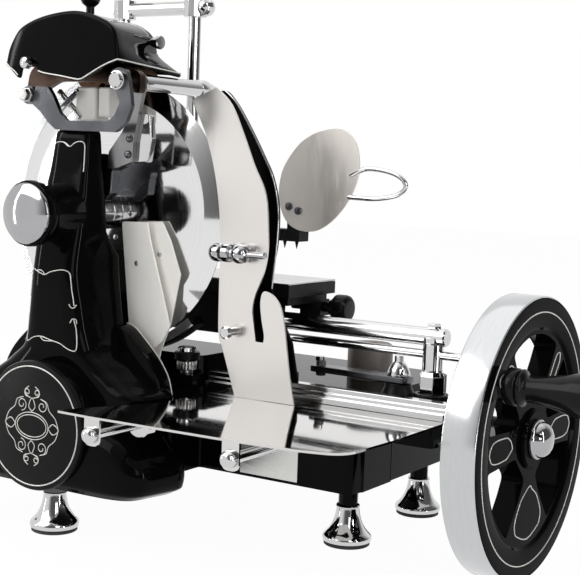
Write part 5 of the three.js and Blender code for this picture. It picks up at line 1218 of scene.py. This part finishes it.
def coverShell():
    front, rear = sharpener["front"], sharpener["back"]
    over, under = flowing(sharpener["over"], 4, False), flowing(sharpener["under"], 3, False)
    bm = bmesh.new()
    spots = [bm.verts.new((x, front, z)) for x, z in over + under]
    edges = [bm.edges.new((spot, spots[(i + 1) % len(spots)])) for i, spot in enumerate(spots)]
    bmesh.ops.contextual_create(bm, geom=edges)
    grown = bmesh.ops.extrude_edge_only(bm, edges=edges[:len(over) - 1])["geom"]
    far = [item for item in grown if isinstance(item, bmesh.types.BMVert)]
    for vert in far:
        vert.co.y = rear
    ends = sorted(far, key=lambda v: v.co.z)[:2]
    rim = [item for item in grown if isinstance(item, bmesh.types.BMEdge) and set(item.verts) <= set(far)]
    rim.append(bm.edges.new(ends))
    bmesh.ops.contextual_create(bm, geom=rim)
    middle = [edge for edge in bm.edges if abs(edge.verts[0].co.y - edge.verts[1].co.y) > 1]
    bmesh.ops.subdivide_edges(bm, edges=middle, cuts=6, use_grid_fill=True)
    for vert in bm.verts:
        vert.co = tapered(*vert.co)
    bmesh.ops.recalc_face_normals(bm, faces=bm.faces)
    level = [edge for edge in bm.edges if abs(edge.verts[0].co.y - edge.verts[1].co.y) < 0.5]
    corners = [edge for edge in level if len(edge.link_faces) == 2 and edge.calc_face_angle(0) > 0.9]
    bmesh.ops.bevel(
        bm, geom=corners, offset=sharpener["round"], offset_type="OFFSET", segments=5, profile=0.5,
        affect="EDGES", clamp_overlap=True, material=-1,
    )
    bmesh.ops.remove_doubles(bm, verts=bm.verts, dist=0.02)
    bmesh.ops.recalc_face_normals(bm, faces=bm.faces)
    bmesh.ops.solidify(bm, geom=bm.faces[:], thickness=sharpener["wall"])
    return bm


finished(coverShell(), "sharpener_cover", glossPaint, angle=40.0)
stripeY, (sideX, sideZ) = sharpener["front"] - sharpener["stripeOut"], sharpener["sideStripe"]
lowerEdge = flowing([sharpener["over"][-1]] + sharpener["under"][:8], 4, False)
lowerLine = [(x, stripeY, z + sharpener["stripeUp"]) for x, z in lowerEdge]
sideLine = [tuple(tapered(sideX, y, sideZ)) for y in sharpener["sideYs"]]
lipLine = [(x, stripeY, z) for x, z in sharpener["lip"]]
wire([lowerLine[::-1] + sideLine, lipLine], sharpener["stripe"], "coverStripe", "sharpener_cover")
lathed(sharpener["button"], "y", sharpener["buttonSpot"], 40, "sharpener_frame", chrome, trim="coverButton")
for i, block in enumerate(sharpener["blocks"]):
    finished(bar(*block), "sharpener_frame", paleSteel, 2.2, 4, trim=f"sharpenerBlock{i}")
for i, (first, last) in enumerate(sharpener["bars"]):
    run = Vector((last[0] - first[0], last[1] - first[1])).normalized() * sharpener["barHalf"]
    sides = ((first, -1), (first, 1), (last, 1), (last, -1))
    corners = [(x + way * run.y, z - way * run.x) for (x, z), way in sides]
    depth = [y + sharpener["barStep"] * i for y in sharpener["barY"]]
    finished(sheet(corners, *depth, "y"), "sharpener_frame", chrome, 0.8, 2, trim=f"sharpenerCrossBar{i}")
lathed(sharpener["cone"], "x", sharpener["coneSpot"], 36, "sharpener_cover", chrome, trim="coverConeKnob")
lathed(sharpener["knob"], "z", sharpener["knobSpot"], 48, "sharpener_knob", gripFinish)
refined("sharpener_frame", brownSteel, 0.8)
yoke = {
    "outer": [
        (-44, 413.5), (-33, 406), (-23, 396), (-13, 389, 8), (62, 388, 12), (74, 398, 8), (80, 412, 10),
        (78, 426, 8), (76, 436, 6), (73, 446, 6), (64, 448, 6), (54, 445, 6), (54, 434, 6), (62, 424, 5),
        (66, 416, 5), (60, 404, 6), (52, 398, 8), (2, 398, 8), (-8, 405, 6), (-17, 421, 6), (-24, 430, 6),
        (-40, 430.5, 3),
    ],
    "lug": (-49, 422, 8.8), "y": (5, 10),
    "nut": [(0, -3.6), (5.6, -3.6), (6.2, -3), (6.2, 1.6), (7.6, 1.8), (7.6, 4.7), (0, 4.7)],
}
yokePlan = filleted(yoke["outer"], 4)
lugPlan = circle(yoke["lug"][2], 32, yoke["lug"][:2])
yokeParts = [sheet(yokePlan, *yoke["y"], "y", [rodHole]), sheet(lugPlan, *yoke["y"], "y")]
finished(united(yokeParts, "yoke"), "yoke_plate", darkSteel, 0.7, 2)
nut = lathe(yoke["nut"], "y", (yoke["lug"][0], 0, yoke["lug"][1]), 6)
finished(nut, "frame", steel, 0.5, 2, trim="yokeNut")
for side, x, y in sharpener["stones"]:
    stone = lathe(sharpener["stone"], "y", (x, y, sharpener["stoneZ"]), 56)
    finished(stone, side + "_stone", stoneFinish, name=side + "GrindingStone")
tie = [
    (0, -1.3), (6.4, -1.3), (7.4, -0.4), (7.6, 1.6), (8.8, 1.8), (8.8, 4.7), (6, 4.7), (6, 38), (7.6, 38.4),
    (8, 39), (8, 126), (8.8, 127), (9, 128), (9, 138), (8.4, 140), (7.4, 144), (6, 150), (4.2, 156), (0, 160),
]
lathed(tie, "y", tieAxis, 40, "tie_rod", chrome)
print("sharpener made")

# pieces that keep the CAD shape

kept = {
    steel: (
        "wheel_shaft", "wheel_bevel_gear", "cross_gear_shaft", "cross_bevel_gear", "pinion_shaft",
        "lower_sprocket", "upper_sprocket", "drive_chain",
    ),
    bronze: ("inner_wheel_bush", "outer_wheel_bush"),
}
for finish, names in kept.items():
    for name in names:
        node = nodes[name]
        node.data.materials.clear()
        node.data.materials.append(finish)

# camera, floor and light

view = {
    "place": (0.8636, -0.9432, 0.3683), "azimuth": 32.47, "elevation": 5.54, "roll": 2.07, "lens": 81.62,
    "sensor": 36.0,
}
azimuth, elevation, roll = (math.radians(view[k]) for k in ("azimuth", "elevation", "roll"))
right = Vector((math.cos(azimuth), math.sin(azimuth), 0))
level = Vector((math.sin(azimuth), -math.cos(azimuth), 0))
back = level * math.cos(elevation) + Vector((0, 0, math.sin(elevation)))
up = back.cross(right)
cameraX = right * math.cos(roll) + up * math.sin(roll)
cameraY = up * math.cos(roll) - right * math.sin(roll)
lensData = bpy.data.cameras.new("photoView")
lensData.lens, lensData.sensor_width = view["lens"], view["sensor"]
lensData.sensor_fit = "HORIZONTAL"
lensData.clip_start, lensData.clip_end = 0.05, 50.0
camera = bpy.data.objects.new("photoView", lensData)
scene.collection.objects.link(camera)
facing = Matrix((cameraX, cameraY, back)).transposed().to_4x4()
camera.matrix_world = Matrix.Translation(view["place"]) @ facing
scene.camera = camera

studio = {
    "floorHalf": 6.0, "floorPlace": (0.1, 0.1, -0.0005), "floorGlow": 0.97, "ambient": 0.55,
    "darkSide": (0.95, -0.3, 0.0), "darkFrom": -0.1, "darkTo": 0.5, "darkLevel": 0.12,
    "aim": (0.15, 0.1, 0.25),
}
floorMesh = bpy.data.meshes.new("studioFloor")
floorBm = bmesh.new()
bmesh.ops.create_grid(floorBm, x_segments=1, y_segments=1, size=studio["floorHalf"])
bmesh.ops.translate(floorBm, vec=studio["floorPlace"], verts=floorBm.verts)
floorBm.to_mesh(floorMesh)
floorBm.free()
floor = bpy.data.objects.new("studioFloor", floorMesh)
scene.collection.objects.link(floor)
floorFinish = grainFinish("paleFloor", grey(0.93, 0.95), (0.6, 0.7), (40.0, 0.0), (3.0, 0.0), sheen=0.0)
floorMesh.materials.append(floorFinish)
floorTree = floorFinish.node_tree


def seenByEye(tree):
    # one where the camera, a mirror or glass looks, nought for light that falls on the object
    rays = tree.nodes.new("ShaderNodeLightPath")
    mask = rays.outputs["Is Camera Ray"]
    for other in ("Is Glossy Ray", "Is Transmission Ray"):
        mask = combined(tree, "ShaderNodeMath", "MAXIMUM", mask, rays.outputs[other]).outputs[0]
    return mask


glow = addNode(floorTree, "ShaderNodeEmission", Color=(1.0, 1.0, 1.0, 1.0), Strength=1.0)
share = combined(floorTree, "ShaderNodeMath", "MULTIPLY", seenByEye(floorTree), studio["floorGlow"])
blend = floorTree.nodes.new("ShaderNodeMixShader")
floorOutput = floorTree.nodes["Material Output"]
floorTree.links.new(share.outputs[0], blend.inputs[0])
floorTree.links.new(floorTree.nodes["Principled BSDF"].outputs[0], blend.inputs[1])
floorTree.links.new(glow.outputs[0], blend.inputs[2])
floorTree.links.new(blend.outputs[0], floorOutput.inputs["Surface"])

world = bpy.data.worlds.new("studio")
world.use_nodes = True
scene.world = world
sky = world.node_tree
sky.nodes.clear()
output = sky.nodes.new("ShaderNodeOutputWorld")
ambient = addNode(sky, "ShaderNodeBackground", Color=(1.0, 1.0, 1.0, 1.0), Strength=studio["ambient"])
shown = addNode(sky, "ShaderNodeBackground", Color=(1.0, 1.0, 1.0, 1.0), Strength=1.0)
pick = sky.nodes.new("ShaderNodeMixShader")
sky.links.new(seenByEye(sky), pick.inputs[0])
sky.links.new(ambient.outputs[0], pick.inputs[1])
sky.links.new(shown.outputs[0], pick.inputs[2])
skyPlace = sky.nodes.new("ShaderNodeTexCoord")
side = combined(sky, "ShaderNodeVectorMath", "DOT_PRODUCT", skyPlace.outputs["Generated"], studio["darkSide"])
room = addNode(
    sky, "ShaderNodeMapRange", {"interpolation_type": "SMOOTHSTEP"}, Value=side.outputs["Value"],
    From_Min=studio["darkFrom"], From_Max=studio["darkTo"], To_Min=1.0, To_Max=studio["darkLevel"],
)
skyRays = sky.nodes.new("ShaderNodeLightPath")
level = combined(sky, "ShaderNodeMath", "MAXIMUM", room.outputs["Result"], skyRays.outputs["Is Camera Ray"])
sky.links.new(level.outputs[0], shown.inputs["Strength"])
sky.links.new(pick.outputs[0], output.inputs["Surface"])

lamps = {
    "keyLamp": {"place": (-0.9, -1.5, 1.8), "size": (1.8, 1.8), "power": 30.0},
    "fillLamp": {"place": (1.9, -1.2, 1.1), "size": (0.8, 1.4), "power": 10.0},
    "topLamp": {"place": (0.2, 0.3, 2.2), "size": (2.8, 2.8), "power": 12.0},
    "leftStrip": {"place": (-1.3, -1.0, 0.55), "size": (0.05, 1.3), "power": 4.0},
    "rightStrip": {"place": (1.5, -0.1, 0.6), "size": (0.05, 1.3), "power": 4.0},
}
for name, lamp in lamps.items():
    data = bpy.data.lights.new(name, "AREA")
    data.shape = "RECTANGLE"
    data.size, data.size_y = lamp["size"]
    data.energy = lamp["power"]
    light = bpy.data.objects.new(name, data)
    scene.collection.objects.link(light)
    light.location = lamp["place"]
    light.rotation_mode = "QUATERNION"
    light.rotation_quaternion = (Vector(studio["aim"]) - Vector(lamp["place"])).to_track_quat("-Z", "Y")
scene.view_settings.view_transform = "Standard"
print("camera, floor and lamps set")
